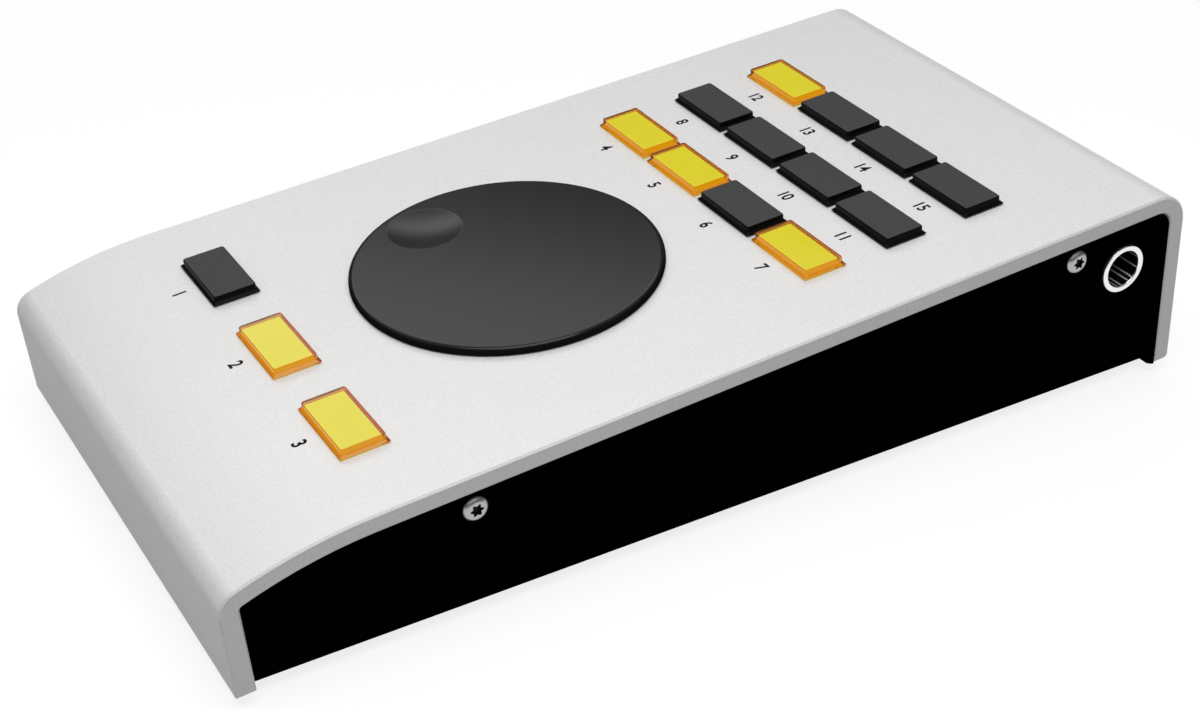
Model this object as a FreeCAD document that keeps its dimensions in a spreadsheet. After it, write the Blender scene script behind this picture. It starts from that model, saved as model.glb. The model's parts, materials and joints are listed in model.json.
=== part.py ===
import FreeCAD, Part
import os
import Sketcher

# A desk controller for studio monitors: a bent aluminium cover with a large dial and fifteen keys,
# over a folded steel tray that carries the boards.
#
# Every piece is drawn in the axes of the cover's flat top: x to the right, u to the rear (the body's
# own Y) and w straight out of the top (its own Z), from the middle of the front edge. The rear wall
# is deeper than the front one, so each body's Placement tips those axes up by Place.tilt.
# The document's own frame has its origin under the middle of the controller, with the feet on Z = 0.

doc = FreeCAD.newDocument("monitor_controller")

# --------------------------------------------------------------------------------------------------
# Driving dimensions, in millimetres and degrees
# --------------------------------------------------------------------------------------------------

DIMENSIONS = [
    # cover
    ("length", 168.0, "cover, front face to rear face along its top"),
    ("width", 89.0, "cover, side to side"),
    ("sheet", 3.0, "cover, thickness of the aluminium"),
    ("front_depth", 21.0, "cover, depth of the front wall below the top"),
    ("rear_depth", 33.0, "cover, depth of the rear wall below the top"),
    ("rear_bend", 5.8, "cover, outside radius of the rear bend"),
    ("front_bend", 3.7, "cover, outside radius of the front bend"),
    ("crown_radius", 69.0, "cover, radius of the falling front part of the top"),
    ("crown_length", 23.4, "cover, how far back the falling part reaches"),
    ("edge_break", 0.3, "cover, chamfer on the cut edges"),
    ("rear_edge_round", 1.0, "cover, outer bottom corner of the rear wall"),
    # tray
    ("tray_sheet", 1.0, "tray, thickness of the steel"),
    ("tray_gap", 0.2, "tray, gap to the inside of the cover"),
    ("side_inset", 1.8, "tray, how far its sides stand in from the cover's cut edges"),
    ("tray_bend", 0.8, "tray, rounding of the folds under its sides"),
    ("ear_edge", 0.6, "tray, chamfer of the rear flange's upright edges"),
    # side screws and the blocks that they hold
    ("screw_front", 38.7, "side screws, front pair behind the front face"),
    ("screw_rear", 21.0, "side screws, rear pair ahead of the rear face"),
    ("screw_drop", 7.0, "side screws, below the top"),
    ("screw_head_radius", 2.0, "side screws, head"),
    ("screw_head_height", 0.7, "side screws, head"),
    ("screw_head_edge", 0.45, "side screws, chamfer of the head's edge"),
    ("screw_radius", 1.2, "side screws, shank"),
    ("screw_reach", 5.0, "side screws, shank length under the head"),
    ("screw_hole_play", 0.15, "side screws, radial play in the tray"),
    ("thread_play", 0.05, "all screws, radial gap kept in the threads"),
    ("star_radius", 0.98, "side screws, tips of the star recess"),
    ("star_waist", 0.7, "side screws, waists between the tips"),
    ("star_depth", 0.5, "side screws, depth of the star recess"),
    ("block_depth", 8.0, "fixing blocks, below the inside of the top"),
    ("block_length", 6.4, "fixing blocks, front to rear"),
    ("block_reach", 5.6, "fixing blocks, inwards from the tray's side"),
    # keys
    ("key_pitch", 15.8, "keys, side to side in the rear block"),
    ("row_pitch", 15.5, "keys, row to row in the rear block"),
    ("front_key_pitch", 23.7, "keys, side to side in the front row"),
    ("front_row", 28.4, "keys, front row behind the front face"),
    ("block_from_rear", 61.5, "keys, first row of the rear block ahead of the rear face"),
    ("key_gap", 0.3, "keys, skirt above the cover at rest"),
    ("key_travel", 0.25, "keys, how far they go down"),
    ("cap_top", 1.6, "key caps, top face above the cover"),
    ("cap_wide", 13.6, "key caps, side to side above the skirt"),
    ("cap_deep", 6.65, "key caps, front to rear above the skirt"),
    ("skirt_reach", 0.6, "key caps, skirt beyond the cap"),
    ("skirt_height", 0.4, "key caps, height of the sloping skirt"),
    ("cap_corner", 0.3, "key caps, chamfer of the upright edges"),
    ("cap_edge", 0.15, "key caps, chamfer of the top edges"),
    ("cap_wall", 0.6, "key caps, side wall"),
    ("cap_skin", 0.25, "key caps, thickness over the hollow"),
    ("insert_play", 0.02, "light blocks and carriers, gap inside the cap"),
    ("carrier_head", 0.3, "key carriers, thickness of the head inside the cap"),
    ("neck_wide", 11.2, "key carriers, side to side through the cover"),
    ("neck_deep", 4.4, "key carriers, front to rear through the cover"),
    ("neck_end", 5.0, "key carriers, end of the neck below the top"),
    ("window_gap", 0.4, "key windows, gap round the neck"),
    ("rod_side", 2.6, "key carriers, side of the square rod"),
    ("rod_play", 0.08, "key switches, gap on each side of the rod"),
    ("switch_side", 6.0, "key switches, side of the square case"),
    ("switch_height", 3.6, "key switches, height of the case"),
    ("rod_depth", 1.6, "key switches, how deep the rod stands in the case at rest"),
    ("switch_floor", 0.4, "key switches, thickness under the rod's bore"),
    ("lamp_place", 4.2, "key lamps, beside the middle of the switch"),
    ("lamp_wide", 1.2, "key lamps, side to side"),
    ("lamp_deep", 2.0, "key lamps, front to rear"),
    ("lamp_height", 0.8, "key lamps, height"),
    # dial
    ("dial_radius", 25.0, "dial, radius"),
    ("dial_gap", 0.35, "dial, underside above the cover"),
    ("dial_thick", 1.7, "dial, thickness of the disc"),
    ("dial_edge", 0.8, "dial, rounding of the top edge"),
    ("dial_foot_edge", 0.3, "dial, chamfer of the lower edge"),
    ("dimple_radius", 6.4, "finger dimple, radius at the dial's face"),
    ("dimple_depth", 1.0, "finger dimple, depth"),
    ("dimple_out", 16.6, "finger dimple, from the dial's middle"),
    ("dimple_angle", 204.0, "finger dimple, angle about the dial's middle from x"),
    ("hub_radius", 6.0, "dial hub, outside"),
    ("hub_play", 0.5, "dial hub, gap in the cover's hole"),
    ("hub_end", 3.6, "dial hub, end below the top"),
    ("hub_bore_end", 0.3, "dial hub, end of the bore below the top"),
    ("shaft_radius", 3.0, "encoder shaft"),
    ("shaft_flat", 1.5, "encoder shaft, flat from the shaft's middle"),
    ("shaft_play", 0.05, "encoder bush, radial play of the shaft"),
    ("shaft_fit", 0.02, "dial hub, radial gap on the shaft"),
    ("shaft_depth", 7.5, "encoder shaft, lower end below the encoder's bush"),
    ("bush_radius", 4.5, "encoder bush, outside"),
    ("bush_gap", 0.6, "encoder bush, end below the dial hub"),
    ("encoder_side", 12.4, "encoder, side of the square case"),
    ("encoder_height", 6.5, "encoder, height of the case"),
    ("encoder_floor", 0.8, "encoder, thickness under the shaft"),
    # boards
    ("board_drop", 13.6, "main board, its top below the cover's top"),
    ("board_sheet", 1.6, "boards, thickness"),
    ("board_side_gap", 1.7, "main board, gap to the tray's sides"),
    ("board_front", 10.0, "main board, front edge behind the front face"),
    ("board_rear_gap", 4.1, "main board, gap to the jack behind it"),
    ("board_corner", 1.5, "boards, corner chamfer"),
    ("spacer_side", 3.1, "spacers, side of the hexagon"),
    ("spacer_inset", 5.0, "rear spacers, from the main board's side edge"),
    ("board_screw_radius", 1.4, "board screws, shank"),
    ("board_screw_reach", 5.0, "board screws, length inside the spacer"),
    ("board_screw_head", 2.6, "board screws, side of the hexagonal head"),
    ("board_screw_head_height", 1.3, "board screws, head"),
    ("board_screw_play", 0.2, "board screws, radial play in the board"),
    # rear board, and the header that joins it to the main board
    ("board_lap", 12.0, "rear board, how far it reaches under the main board"),
    ("rear_board_left", 10.0, "rear board, how far it goes beyond the data inlet's left side"),
    ("rear_board_margin", 0.6, "rear board, gap to the tray's side and rear flange"),
    ("header_wide", 25.4, "header, side to side"),
    ("header_deep", 5.0, "header, front to rear"),
    # jack socket
    ("jack_margin", 10.9, "jack, axis ahead of the rear face"),
    ("jack_drop", 12.0, "jack, axis below the top"),
    ("jack_bore_radius", 3.2, "jack, bore"),
    ("jack_play", 0.4, "jack body, hollow wider in radius than the ferrule's bore"),
    ("ferrule_radius", 4.2, "jack ferrule, outside"),
    ("ferrule_proud", 0.4, "jack ferrule, beyond the tray's side"),
    ("ferrule_length", 7.0, "jack ferrule, length"),
    ("ferrule_edge", 0.25, "jack ferrule, chamfer of the mouth"),
    ("ferrule_hole_play", 0.15, "tray, radial gap round the ferrule"),
    ("jack_half", 6.0, "jack body, half its height and half its depth"),
    ("jack_length", 33.0, "jack body, length"),
    ("jack_hollow", 31.0, "jack body, depth of the hollow, for a plug 31 mm long"),
    ("spring_wide", 2.4, "jack springs, width"),
    ("spring_sheet", 0.3, "jack springs, thickness"),
    ("spring_length", 15.0, "jack springs, length"),
    # data inlet
    ("inlet_gap", 2.7, "data inlet shell, gap to the jack body's inner end"),
    ("inlet_wide", 12.0, "data inlet shell, side to side"),
    ("inlet_high", 11.0, "data inlet shell, height"),
    ("inlet_long", 16.0, "data inlet shell, length"),
    ("inlet_sheet", 0.5, "data inlet shell, thickness"),
    ("inlet_corner", 2.2, "data inlet shell, slanted upper corners"),
    ("inlet_recess", 0.3, "data inlet shell, mouth inside the rear face"),
    ("inlet_play", 0.4, "data inlet, gap in the rear wall"),
    ("inlet_root", 5.0, "data inlet, thickness of the insulator behind the tongue"),
    ("tongue_wide", 5.6, "data inlet tongue, side to side"),
    ("tongue_high", 3.2, "data inlet tongue, height"),
    ("tongue_long", 8.4, "data inlet tongue, length"),
    # feet
    ("foot_radius", 5.0, "feet, radius"),
    ("foot_height", 2.0, "feet, height"),
    ("foot_front", 14.0, "feet, front pair behind the front face"),
    ("foot_rear", 18.0, "feet, rear pair ahead of the rear face"),
    ("foot_inset", 9.7, "feet, middle inside the tray's side"),
]

size = doc.addObject("Spreadsheet::Sheet", "Size")
for row, (alias, number, note) in enumerate(DIMENSIONS, start=1):
    size.set(f"A{row}", alias)
    size.set(f"B{row}", str(number))
    size.set(f"C{row}", note)
    size.setAlias(f"B{row}", alias)
doc.recompute()

# Values that follow from the sheet and that more than one piece needs.
DERIVED = [
    ("slope", "(Size.rear_depth - Size.front_depth) / (Size.length - Size.sheet)"),
    ("tilt", "atan(Place.slope)"),
    # The front bend touches the crown from inside. This is its middle, and the sine of the angle
    # at which the two arcs meet.
    ("bend_level", "sqrt((Size.crown_radius - Size.front_bend) ^ 2"
                   " - (Size.crown_length - Size.front_bend) ^ 2) - Size.crown_radius"),
    ("bend_sine", "(Size.crown_length - Size.front_bend) / (Size.crown_radius - Size.front_bend)"),
    ("bend_cosine", "sqrt(1 - Place.bend_sine ^ 2)"),
    # The tray hangs this far under the cover's outer surface.
    ("tray_skin", "Size.sheet + Size.tray_gap"),
    ("tray_half", "Size.width / 2 - Size.side_inset"),
    ("tray_floor", "Size.tray_sheet / cos(Place.tilt)"),
    ("tray_inside", "Place.tray_half - Size.tray_sheet"),
    ("screw_pitch", "Size.length - Size.screw_rear - Size.screw_front"),
    ("foot_pitch", "Size.length - Size.foot_rear - Size.foot_front"),
    # The dial stands halfway between the front row and the rear block.
    ("rear_row", "Size.length - Size.block_from_rear"),
    ("dial_place", "(Size.front_row + Place.rear_row) / 2"),
    # The jack's body fills the corner. The boards end at it and the inlet stands beside it.
    ("jack_place", "Size.length - Size.jack_margin"),
    ("inlet_place", "Place.tray_inside - Size.jack_length - Size.inlet_gap - Size.inlet_wide / 2"),
    ("board_rear", "Place.jack_place - Size.jack_half - Size.board_rear_gap"),
    ("board_half", "Place.tray_inside - Size.board_side_gap"),
    ("rear_board_drop", "Size.jack_drop + Size.jack_half"),
    # Where the cover's own axes stand in the document's frame.
    ("lowest_y", "Size.front_bend * (cos(Place.tilt) - 1) - Place.bend_level * sin(Place.tilt)"),
    ("highest_y", "(Size.length - Size.rear_edge_round) * cos(Place.tilt)"
                  " + (Size.rear_depth - Size.rear_edge_round) * sin(Place.tilt) + Size.rear_edge_round"),
    ("shift", "-(Place.lowest_y + Place.highest_y) / 2"),
    ("rise", "Size.foot_height + Size.front_depth * cos(Place.tilt)"),
]

place = doc.addObject("App::VarSet", "Place")
for name, formula in DERIVED:
    place.addProperty("App::PropertyFloat", name)
    place.setExpression(name, formula)
doc.recompute()


def measured(formula):
    """The number that a formula on the sheet gives now."""
    return float(size.evalExpression(formula))


def ground(u):
    """The level of the line through the feet of both walls, at u."""
    return f"(-Size.front_depth - Place.slope * ({u}))"


# --------------------------------------------------------------------------------------------------
# Bodies, sketches and features
# --------------------------------------------------------------------------------------------------

pieces = []


def new_body(label, x="0", u="0", w="0", tilted=True):
    """A body whose own origin lies at x, u, w of the cover's axes."""
    body = doc.addObject("PartDesign::Body", label)
    body.Label = label
    body.Placement = FreeCAD.Placement(FreeCAD.Vector(), FreeCAD.Rotation(FreeCAD.Vector(1, 0, 0), 1))
    body.setExpression("Placement.Base.x", x)
    body.setExpression("Placement.Base.y",
                       f"Place.shift + ({u}) * cos(Place.tilt) - ({w}) * sin(Place.tilt)")
    body.setExpression("Placement.Base.z",
                       f"Place.rise + ({u}) * sin(Place.tilt) + ({w}) * cos(Place.tilt)")
    body.setExpression("Placement.Rotation.Angle", "Place.tilt" if tilted else "0")
    pieces.append(body)
    return body


def origin_of(body, role):
    """One of the body's own origin planes or axes."""
    return next(item for item in body.Origin.OriginFeatures if item.Role == role)


def new_sketch(body, plane, name, offset="0"):
    """A sketch on an origin plane of its body, moved along the plane's normal."""
    sketch = body.newObject("Sketcher::SketchObject", f"{body.Name}_{name}")
    sketch.AttachmentSupport = (origin_of(body, plane), "")
    sketch.MapMode = "FlatFace"
    sketch.setExpression("AttachmentOffset.Base.z", offset)
    return sketch


def fix_point(sketch, geometry, point, x, y):
    """Hold a point of a sketch at x, y from the sketch's origin."""
    for axis, formula in (("DistanceX", x), ("DistanceY", y)):
        constraint = sketch.addConstraint(
            Sketcher.Constraint(axis, -1, 1, geometry, point, measured(formula)))
        sketch.setExpression(f"Constraints[{constraint}]", formula)


def draw_outline(sketch, points, bends=None):
    """A closed outline through points of (x, y) formulas. bends gives, for the run that leaves a
    point, the radius of its arc, and +1 for an arc that turns left or -1 for right."""
    bends = bends or {}
    spots = [FreeCAD.Vector(measured(x), measured(y), 0) for x, y in points]
    for index, start in enumerate(spots):
        end = spots[(index + 1) % len(spots)]
        if index in bends:
            radius, turn = bends[index]
            chord = end - start
            reach = measured(radius)
            sagitta = reach - (reach ** 2 - (chord.Length / 2) ** 2) ** 0.5
            across = FreeCAD.Vector(chord.y, -chord.x, 0).normalize() * turn
            sketch.addGeometry(Part.Arc(start, (start + end) / 2 + across * sagitta, end))
        else:
            sketch.addGeometry(Part.LineSegment(start, end))
    for index in range(len(spots)):
        # A Sketcher arc always runs anticlockwise, so one that turns right ends where it began.
        turned = index in bends and bends[index][1] < 0
        after = (index + 1) % len(spots)
        after_turned = after in bends and bends[after][1] < 0
        sketch.addConstraint(Sketcher.Constraint(
            "Coincident", index, 1 if turned else 2, after, 2 if after_turned else 1))
        fix_point(sketch, index, 2 if turned else 1, *points[index])
        if index in bends:
            constraint = sketch.addConstraint(
                Sketcher.Constraint("Radius", index, measured(bends[index][0])))
            sketch.setExpression(f"Constraints[{constraint}]", bends[index][0])


def draw_rectangle(sketch, x, y, wide, high, corner=None):
    """A rectangle about x, y, with rounded corners if corner is given."""
    left, right = f"({x}) - ({wide}) / 2", f"({x}) + ({wide}) / 2"
    low, high_side = f"({y}) - ({high}) / 2", f"({y}) + ({high}) / 2"
    if corner is None:
        draw_outline(sketch, [(left, low), (right, low), (right, high_side), (left, high_side)])
        return
    points = [(f"{left} + {corner}", low), (f"{right} - {corner}", low),
              (right, f"{low} + {corner}"), (right, f"{high_side} - {corner}"),
              (f"{right} - {corner}", high_side), (f"{left} + {corner}", high_side),
              (left, f"{high_side} - {corner}"), (left, f"{low} + {corner}")]
    draw_outline(sketch, points, {index: (corner, 1) for index in (1, 3, 5, 7)})


def draw_circle(sketch, x, y, radius):
    centre = FreeCAD.Vector(measured(x), measured(y), 0)
    circle = sketch.addGeometry(Part.Circle(centre, FreeCAD.Vector(0, 0, 1), measured(radius)))
    fix_point(sketch, circle, 3, x, y)
    constraint = sketch.addConstraint(Sketcher.Constraint("Radius", circle, measured(radius)))
    sketch.setExpression(f"Constraints[{constraint}]", radius)


def volume_of(body):
    return 0.0 if body.Shape.isNull() else body.Shape.Volume


def extrude(body, sketch, length, name, kind="Pad", symmetric=False, backwards=False, taper=None):
    """Pad or pocket a sketch, and check that the body's volume changed the right way."""
    before = volume_of(body)
    feature = body.newObject(f"PartDesign::{kind}", f"{body.Name}_{name}")
    feature.Profile = sketch
    feature.SideType = "Symmetric" if symmetric else "One side"
    feature.Reversed = backwards
    feature.setExpression("Length", length)
    if taper:
        feature.setExpression("TaperAngle", taper)
    doc.recompute()
    gained = volume_of(body) - before
    if (gained > 0) != (kind == "Pad") or abs(gained) < 1e-6:
        raise RuntimeError(f"{feature.Name} changed the volume of {body.Label} by {gained}")
    return feature


def pad(body, sketch, length, name, **options):
    return extrude(body, sketch, length, name, "Pad", **options)


def pocket(body, sketch, length, name, **options):
    return extrude(body, sketch, length, name, "Pocket", **options)


def block(body, name, x, y, low, height, wide, deep, corner=None, kind="Pad"):
    """An upright block or hole about x, y whose foot is at low."""
    sketch = new_sketch(body, "XY_Plane", f"{name}_outline", low)
    draw_rectangle(sketch, x, y, wide, deep, corner)
    return extrude(body, sketch, height, name, kind, backwards=kind == "Pocket")


def drum(body, name, x, y, low, height, radius, kind="Pad"):
    """An upright cylinder or round hole about x, y whose foot is at low."""
    sketch = new_sketch(body, "XY_Plane", f"{name}_outline", low)
    draw_circle(sketch, x, y, radius)
    return extrude(body, sketch, height, name, kind, backwards=kind == "Pocket")


def edges_where(body, test):
    """The names of the body's edges that pass a test."""
    return [f"Edge{number}" for number, edge in enumerate(body.Tip.Shape.Edges, start=1) if test(edge)]


def dress(body, kind, edges, amount, name):
    """A fillet or chamfer of the given edges of the body's last feature."""
    last = body.Tip
    feature = body.newObject(f"PartDesign::{kind}", f"{body.Name}_{name}")
    feature.Base = (last, edges)
    feature.setExpression("Radius" if kind == "Fillet" else "Size", amount)
    doc.recompute()
    return feature


def row_of(body, axis, pitch, count, name):
    pattern = body.newObject("PartDesign::LinearPattern", f"{body.Name}_{name}")
    pattern.Direction = (origin_of(body, axis), [""])
    pattern.setExpression("Length", f"({pitch}) * {count - 1}")
    pattern.Occurrences = count
    return pattern


def mirror_of(body, plane, name):
    mirror = body.newObject("PartDesign::Mirrored", f"{body.Name}_{name}")
    mirror.MirrorPlane = (origin_of(body, plane), [""])
    return mirror


def repeat(body, originals, steps, name):
    """Repeat features by one or more patterns, each over the result of the last."""
    pattern = body.newObject("PartDesign::MultiTransform", f"{body.Name}_{name}")
    pattern.Originals = originals
    pattern.Transformations = steps
    body.Tip = pattern
    doc.recompute()
    return pattern


def four_corners(body, originals, pitch):
    """Repeat features as a front and a rear pair, right and left."""
    repeat(body, originals,
           [row_of(body, "Y_Axis", pitch, 2, "pairs"), mirror_of(body, "YZ_Plane", "sides")], "corners")


# --------------------------------------------------------------------------------------------------
# Key places
# --------------------------------------------------------------------------------------------------

FRONT_KEYS = 3
BLOCK_KEYS = 4
BLOCK_ROWS = 3
FRONT_LEFT = f"-Size.front_key_pitch * {(FRONT_KEYS - 1) / 2}"
BLOCK_LEFT = f"-Size.key_pitch * {(BLOCK_KEYS - 1) / 2}"

# Keys by row, the front row as f and the rear block as a, b and c from front to rear.
KEYS = {f"f{column + 1}": (f"{FRONT_LEFT} + Size.front_key_pitch * {column}", "Size.front_row")
        for column in range(FRONT_KEYS)}
for number, letter in enumerate("abc"):
    for column in range(BLOCK_KEYS):
        KEYS[f"{letter}{column + 1}"] = (f"{BLOCK_LEFT} + Size.key_pitch * {column}",
                                         f"Place.rear_row + Size.row_pitch * {number}")

LIT_KEYS = ("f2", "f3", "a1", "a2", "a4", "c1")


def at_every_key(body, make):
    """Make features at the first key of the front row and of the rear block, and repeat them.
    make(name, x, u) returns the features."""
    first = make("front", FRONT_LEFT, "Size.front_row")
    repeat(body, first,
           [row_of(body, "X_Axis", "Size.front_key_pitch", FRONT_KEYS, "front_columns")], "front_keys")
    second = make("rear", BLOCK_LEFT, "Place.rear_row")
    repeat(body, second,
           [row_of(body, "X_Axis", "Size.key_pitch", BLOCK_KEYS, "rear_columns"),
            row_of(body, "Y_Axis", "Size.row_pitch", BLOCK_ROWS, "rear_lines")], "rear_keys")


# --------------------------------------------------------------------------------------------------
# Cover
# --------------------------------------------------------------------------------------------------

def cover_skin(depth, front_foot, rear_foot):
    """The cover's section, seen from the right, at a depth under its outer surface: its points from
    the front wall's foot over the top to the rear wall's foot, and its arcs, which turn right."""
    points = [
        (depth, front_foot),
        (depth, "Place.bend_level"),
        (f"Size.crown_length - (Size.crown_radius - {depth}) * Place.bend_sine",
         f"(Size.crown_radius - {depth}) * Place.bend_cosine - Size.crown_radius"),
        ("Size.crown_length", f"-({depth})"),
        ("Size.length - Size.rear_bend", f"-({depth})"),
        (f"Size.length - ({depth})", "-Size.rear_bend"),
        (f"Size.length - ({depth})", rear_foot),
    ]
    bends = {1: (f"Size.front_bend - ({depth})", -1),
             2: (f"Size.crown_radius - ({depth})", -1),
             4: (f"Size.rear_bend - ({depth})", -1)}
    return points, bends


def make_top_shell():
    """One aluminium sheet bent down at the front and the rear, with its top falling in a soft arc
    towards the front bend. It is open at both sides."""
    body = new_body("top_shell")
    outer, outer_bends = cover_skin("0", "-Size.front_depth", "-Size.rear_depth")
    inner, inner_bends = cover_skin("Size.sheet", "-Size.front_depth", "-Size.rear_depth")
    points = outer + inner[::-1]
    last = len(points) - 2
    bends = dict(outer_bends)
    for index, (radius, turn) in inner_bends.items():
        bends[last - index] = (radius, -turn)
    section = new_sketch(body, "YZ_Plane", "section")
    draw_outline(section, points, bends)
    pad(body, section, "Size.width", "sheet", symmetric=True)

    rear_corner = edges_where(body, lambda edge: edge.BoundBox.ZMax < measured("-Size.rear_depth") + 0.01
                              and edge.BoundBox.YMin > measured("Size.length") - 0.01
                              and edge.BoundBox.XLength > 1)
    dress(body, "Fillet", rear_corner, "Size.rear_edge_round", "rear_corner")

    half = measured("Size.width") / 2
    cut_edges = edges_where(body, lambda edge: abs(abs(edge.BoundBox.Center.x) - half) < 0.01
                            and edge.BoundBox.XLength < 0.01)
    dress(body, "Chamfer", cut_edges, "Size.edge_break", "broken_edges")

    drum(body, "dial_hole", "0", "Place.dial_place", "-Size.sheet - 1", "Size.sheet + 2",
         "Size.hub_radius + Size.hub_play", kind="Pocket")

    def window(name, x, u):
        return [block(body, f"{name}_window", x, u, "-Size.sheet - 1", "Size.sheet + 2",
                      "Size.neck_wide + 2 * Size.window_gap", "Size.neck_deep + 2 * Size.window_gap",
                      kind="Pocket")]

    at_every_key(body, window)

    inlet = new_sketch(body, "XZ_Plane", "inlet_outline", "-(Size.length - Size.sheet / 2)")
    draw_inlet(inlet, "Size.inlet_play")
    pocket(body, inlet, "Size.sheet * 2", "inlet", symmetric=True)


# --------------------------------------------------------------------------------------------------
# Tray
# --------------------------------------------------------------------------------------------------

def make_base_tray():
    """A steel tray folded up at all four sides. Its sides follow the inside of the cover, and its
    rear flange is wider, out to the cover's cut edges, and curls over under the cover's rear bend."""
    body = new_body("base_tray")
    front, rear = "Place.tray_skin", "(Size.length - Place.tray_skin)"
    points, bends = cover_skin("Place.tray_skin", ground(front), ground(rear))
    side = new_sketch(body, "YZ_Plane", "side")
    draw_outline(side, points, bends)
    pad(body, side, "2 * Place.tray_half", "solid", symmetric=True)

    folds = edges_where(body, lambda edge: edge.BoundBox.YLength > measured("Size.length") / 2
                        and edge.BoundBox.ZMax < measured("-Size.front_depth") + 0.01)
    dress(body, "Fillet", folds, "min(Size.tray_bend; Size.tray_sheet * 0.9)", "folds")

    hollow = new_sketch(body, "YZ_Plane", "hollow_outline")
    front_inside = f"{front} + Size.tray_sheet"
    rear_inside = f"{rear} - Size.tray_sheet"
    draw_outline(hollow, [(front_inside, f"{ground(front_inside)} + Place.tray_floor"),
                          (rear_inside, f"{ground(rear_inside)} + Place.tray_floor"),
                          (rear_inside, "Size.sheet"), (front_inside, "Size.sheet")])
    pocket(body, hollow, "2 * Place.tray_inside", "hollow", symmetric=True)

    flange = new_sketch(body, "YZ_Plane", "flange_outline")
    bend, lip = "Size.length - Size.rear_bend", "Size.rear_bend - Place.tray_skin"
    draw_outline(flange, [(bend, "-Place.tray_skin"), (rear, "-Size.rear_bend"), (rear, ground(rear)),
                          (rear_inside, ground(rear)), (rear_inside, "-Size.rear_bend"),
                          (bend, "-Place.tray_skin - Size.tray_sheet")],
                 {0: (lip, -1), 4: (f"{lip} - Size.tray_sheet", 1)})
    pad(body, flange, "Size.width", "rear_flange", symmetric=True)
    half = measured("Size.width") / 2
    inner_face = measured(rear_inside)
    ears = edges_where(body, lambda edge: abs(abs(edge.BoundBox.Center.x) - half) < 0.01
                       and abs(edge.BoundBox.YMax - inner_face) < 0.01
                       and edge.BoundBox.ZLength > 1)
    dress(body, "Chamfer", ears, "min(Size.ear_edge; Size.tray_sheet * 0.9)", "ears")

    screws = new_sketch(body, "YZ_Plane", "screw_holes_outline")
    for u in ("Size.screw_front", "Size.length - Size.screw_rear"):
        draw_circle(screws, u, "-Size.screw_drop", "Size.screw_radius + Size.screw_hole_play")
    pocket(body, screws, "Size.width", "screw_holes", symmetric=True)

    jack = new_sketch(body, "YZ_Plane", "jack_hole_outline", "Place.tray_half - Size.tray_sheet / 2")
    draw_circle(jack, "Place.jack_place", "-Size.jack_drop", "Size.ferrule_radius + Size.ferrule_hole_play")
    pocket(body, jack, "Size.tray_sheet * 2", "jack_hole", symmetric=True)

    inlet = new_sketch(body, "XZ_Plane", "inlet_outline", f"-({rear} - Size.tray_sheet / 2)")
    draw_inlet(inlet, "Size.inlet_play")
    pocket(body, inlet, "Size.tray_sheet * 2", "inlet", symmetric=True)


def make_rubber_feet():
    """Four round rubber feet under the tray's floor. The floor is level, so they aren't tilted."""
    foot = "Size.foot_front"
    body = new_body("rubber_feet", u=foot, w=ground(foot), tilted=False)
    foot_pad = drum(body, "foot", "Place.tray_half - Size.foot_inset", "0", "-Size.foot_height",
                    "Size.foot_height", "Size.foot_radius")
    four_corners(body, [foot_pad], "Place.foot_pitch")


# --------------------------------------------------------------------------------------------------
# Side screws and fixing blocks
# --------------------------------------------------------------------------------------------------

def make_side_screws():
    """Four star-recess screws that hold the tray's sides to the blocks under the cover."""
    body = new_body("side_screws")
    seat = "Place.tray_half"
    top = f"{seat} + Size.screw_head_height"
    section = new_sketch(body, "XY_Plane", "section", "-Size.screw_drop")
    middle = "Size.screw_front"
    draw_outline(section, [
        (f"{seat} - Size.screw_reach", middle),
        (f"{seat} - Size.screw_reach", f"{middle} + Size.screw_radius"),
        (seat, f"{middle} + Size.screw_radius"),
        (seat, f"{middle} + Size.screw_head_radius"),
        (f"{top} - Size.screw_head_edge", f"{middle} + Size.screw_head_radius"),
        (top, f"{middle} + Size.screw_head_radius - Size.screw_head_edge"),
        (top, middle)])
    turned = body.newObject("PartDesign::Revolution", "side_screws_turned")
    turned.Profile = section
    turned.ReferenceAxis = (section, ["Edge7"])
    doc.recompute()

    star = new_sketch(body, "YZ_Plane", "star_outline", top)
    corners = [("Size.star_waist" if number % 2 else "Size.star_radius", 30 * number)
               for number in range(12)]
    draw_outline(star, [(f"{middle} + {radius} * cos({angle})", f"-Size.screw_drop + {radius} * sin({angle})")
                        for radius, angle in corners])
    recess = pocket(body, star, "Size.star_depth", "star")
    four_corners(body, [turned, recess], "Place.screw_pitch")


def make_fixing_blocks():
    """Four tapped blocks under the cover, one behind each side screw."""
    body = new_body("fixing_blocks")
    middle = "Place.tray_inside - Size.block_reach / 2"
    bar = block(body, "bar", middle, "Size.screw_front", "-Size.sheet - Size.block_depth",
                "Size.block_depth", "Size.block_reach", "Size.block_length")
    thread = new_sketch(body, "YZ_Plane", "thread_outline", middle)
    draw_circle(thread, "Size.screw_front", "-Size.screw_drop", "Size.screw_radius + Size.thread_play")
    tapped = pocket(body, thread, "Size.block_reach * 2", "thread", symmetric=True)
    four_corners(body, [bar, tapped], "Place.screw_pitch")


# --------------------------------------------------------------------------------------------------
# Keys
# --------------------------------------------------------------------------------------------------

def upright(edge):
    return edge.BoundBox.ZLength > 0.1 and edge.BoundBox.XLength < 0.01 and edge.BoundBox.YLength < 0.01


HOLLOW_WIDE = "Size.cap_wide - 2 * Size.cap_wall"
HOLLOW_DEEP = "Size.cap_deep - 2 * Size.cap_wall"
HOLLOW_TOP = "Size.cap_top - Size.cap_skin"


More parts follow.
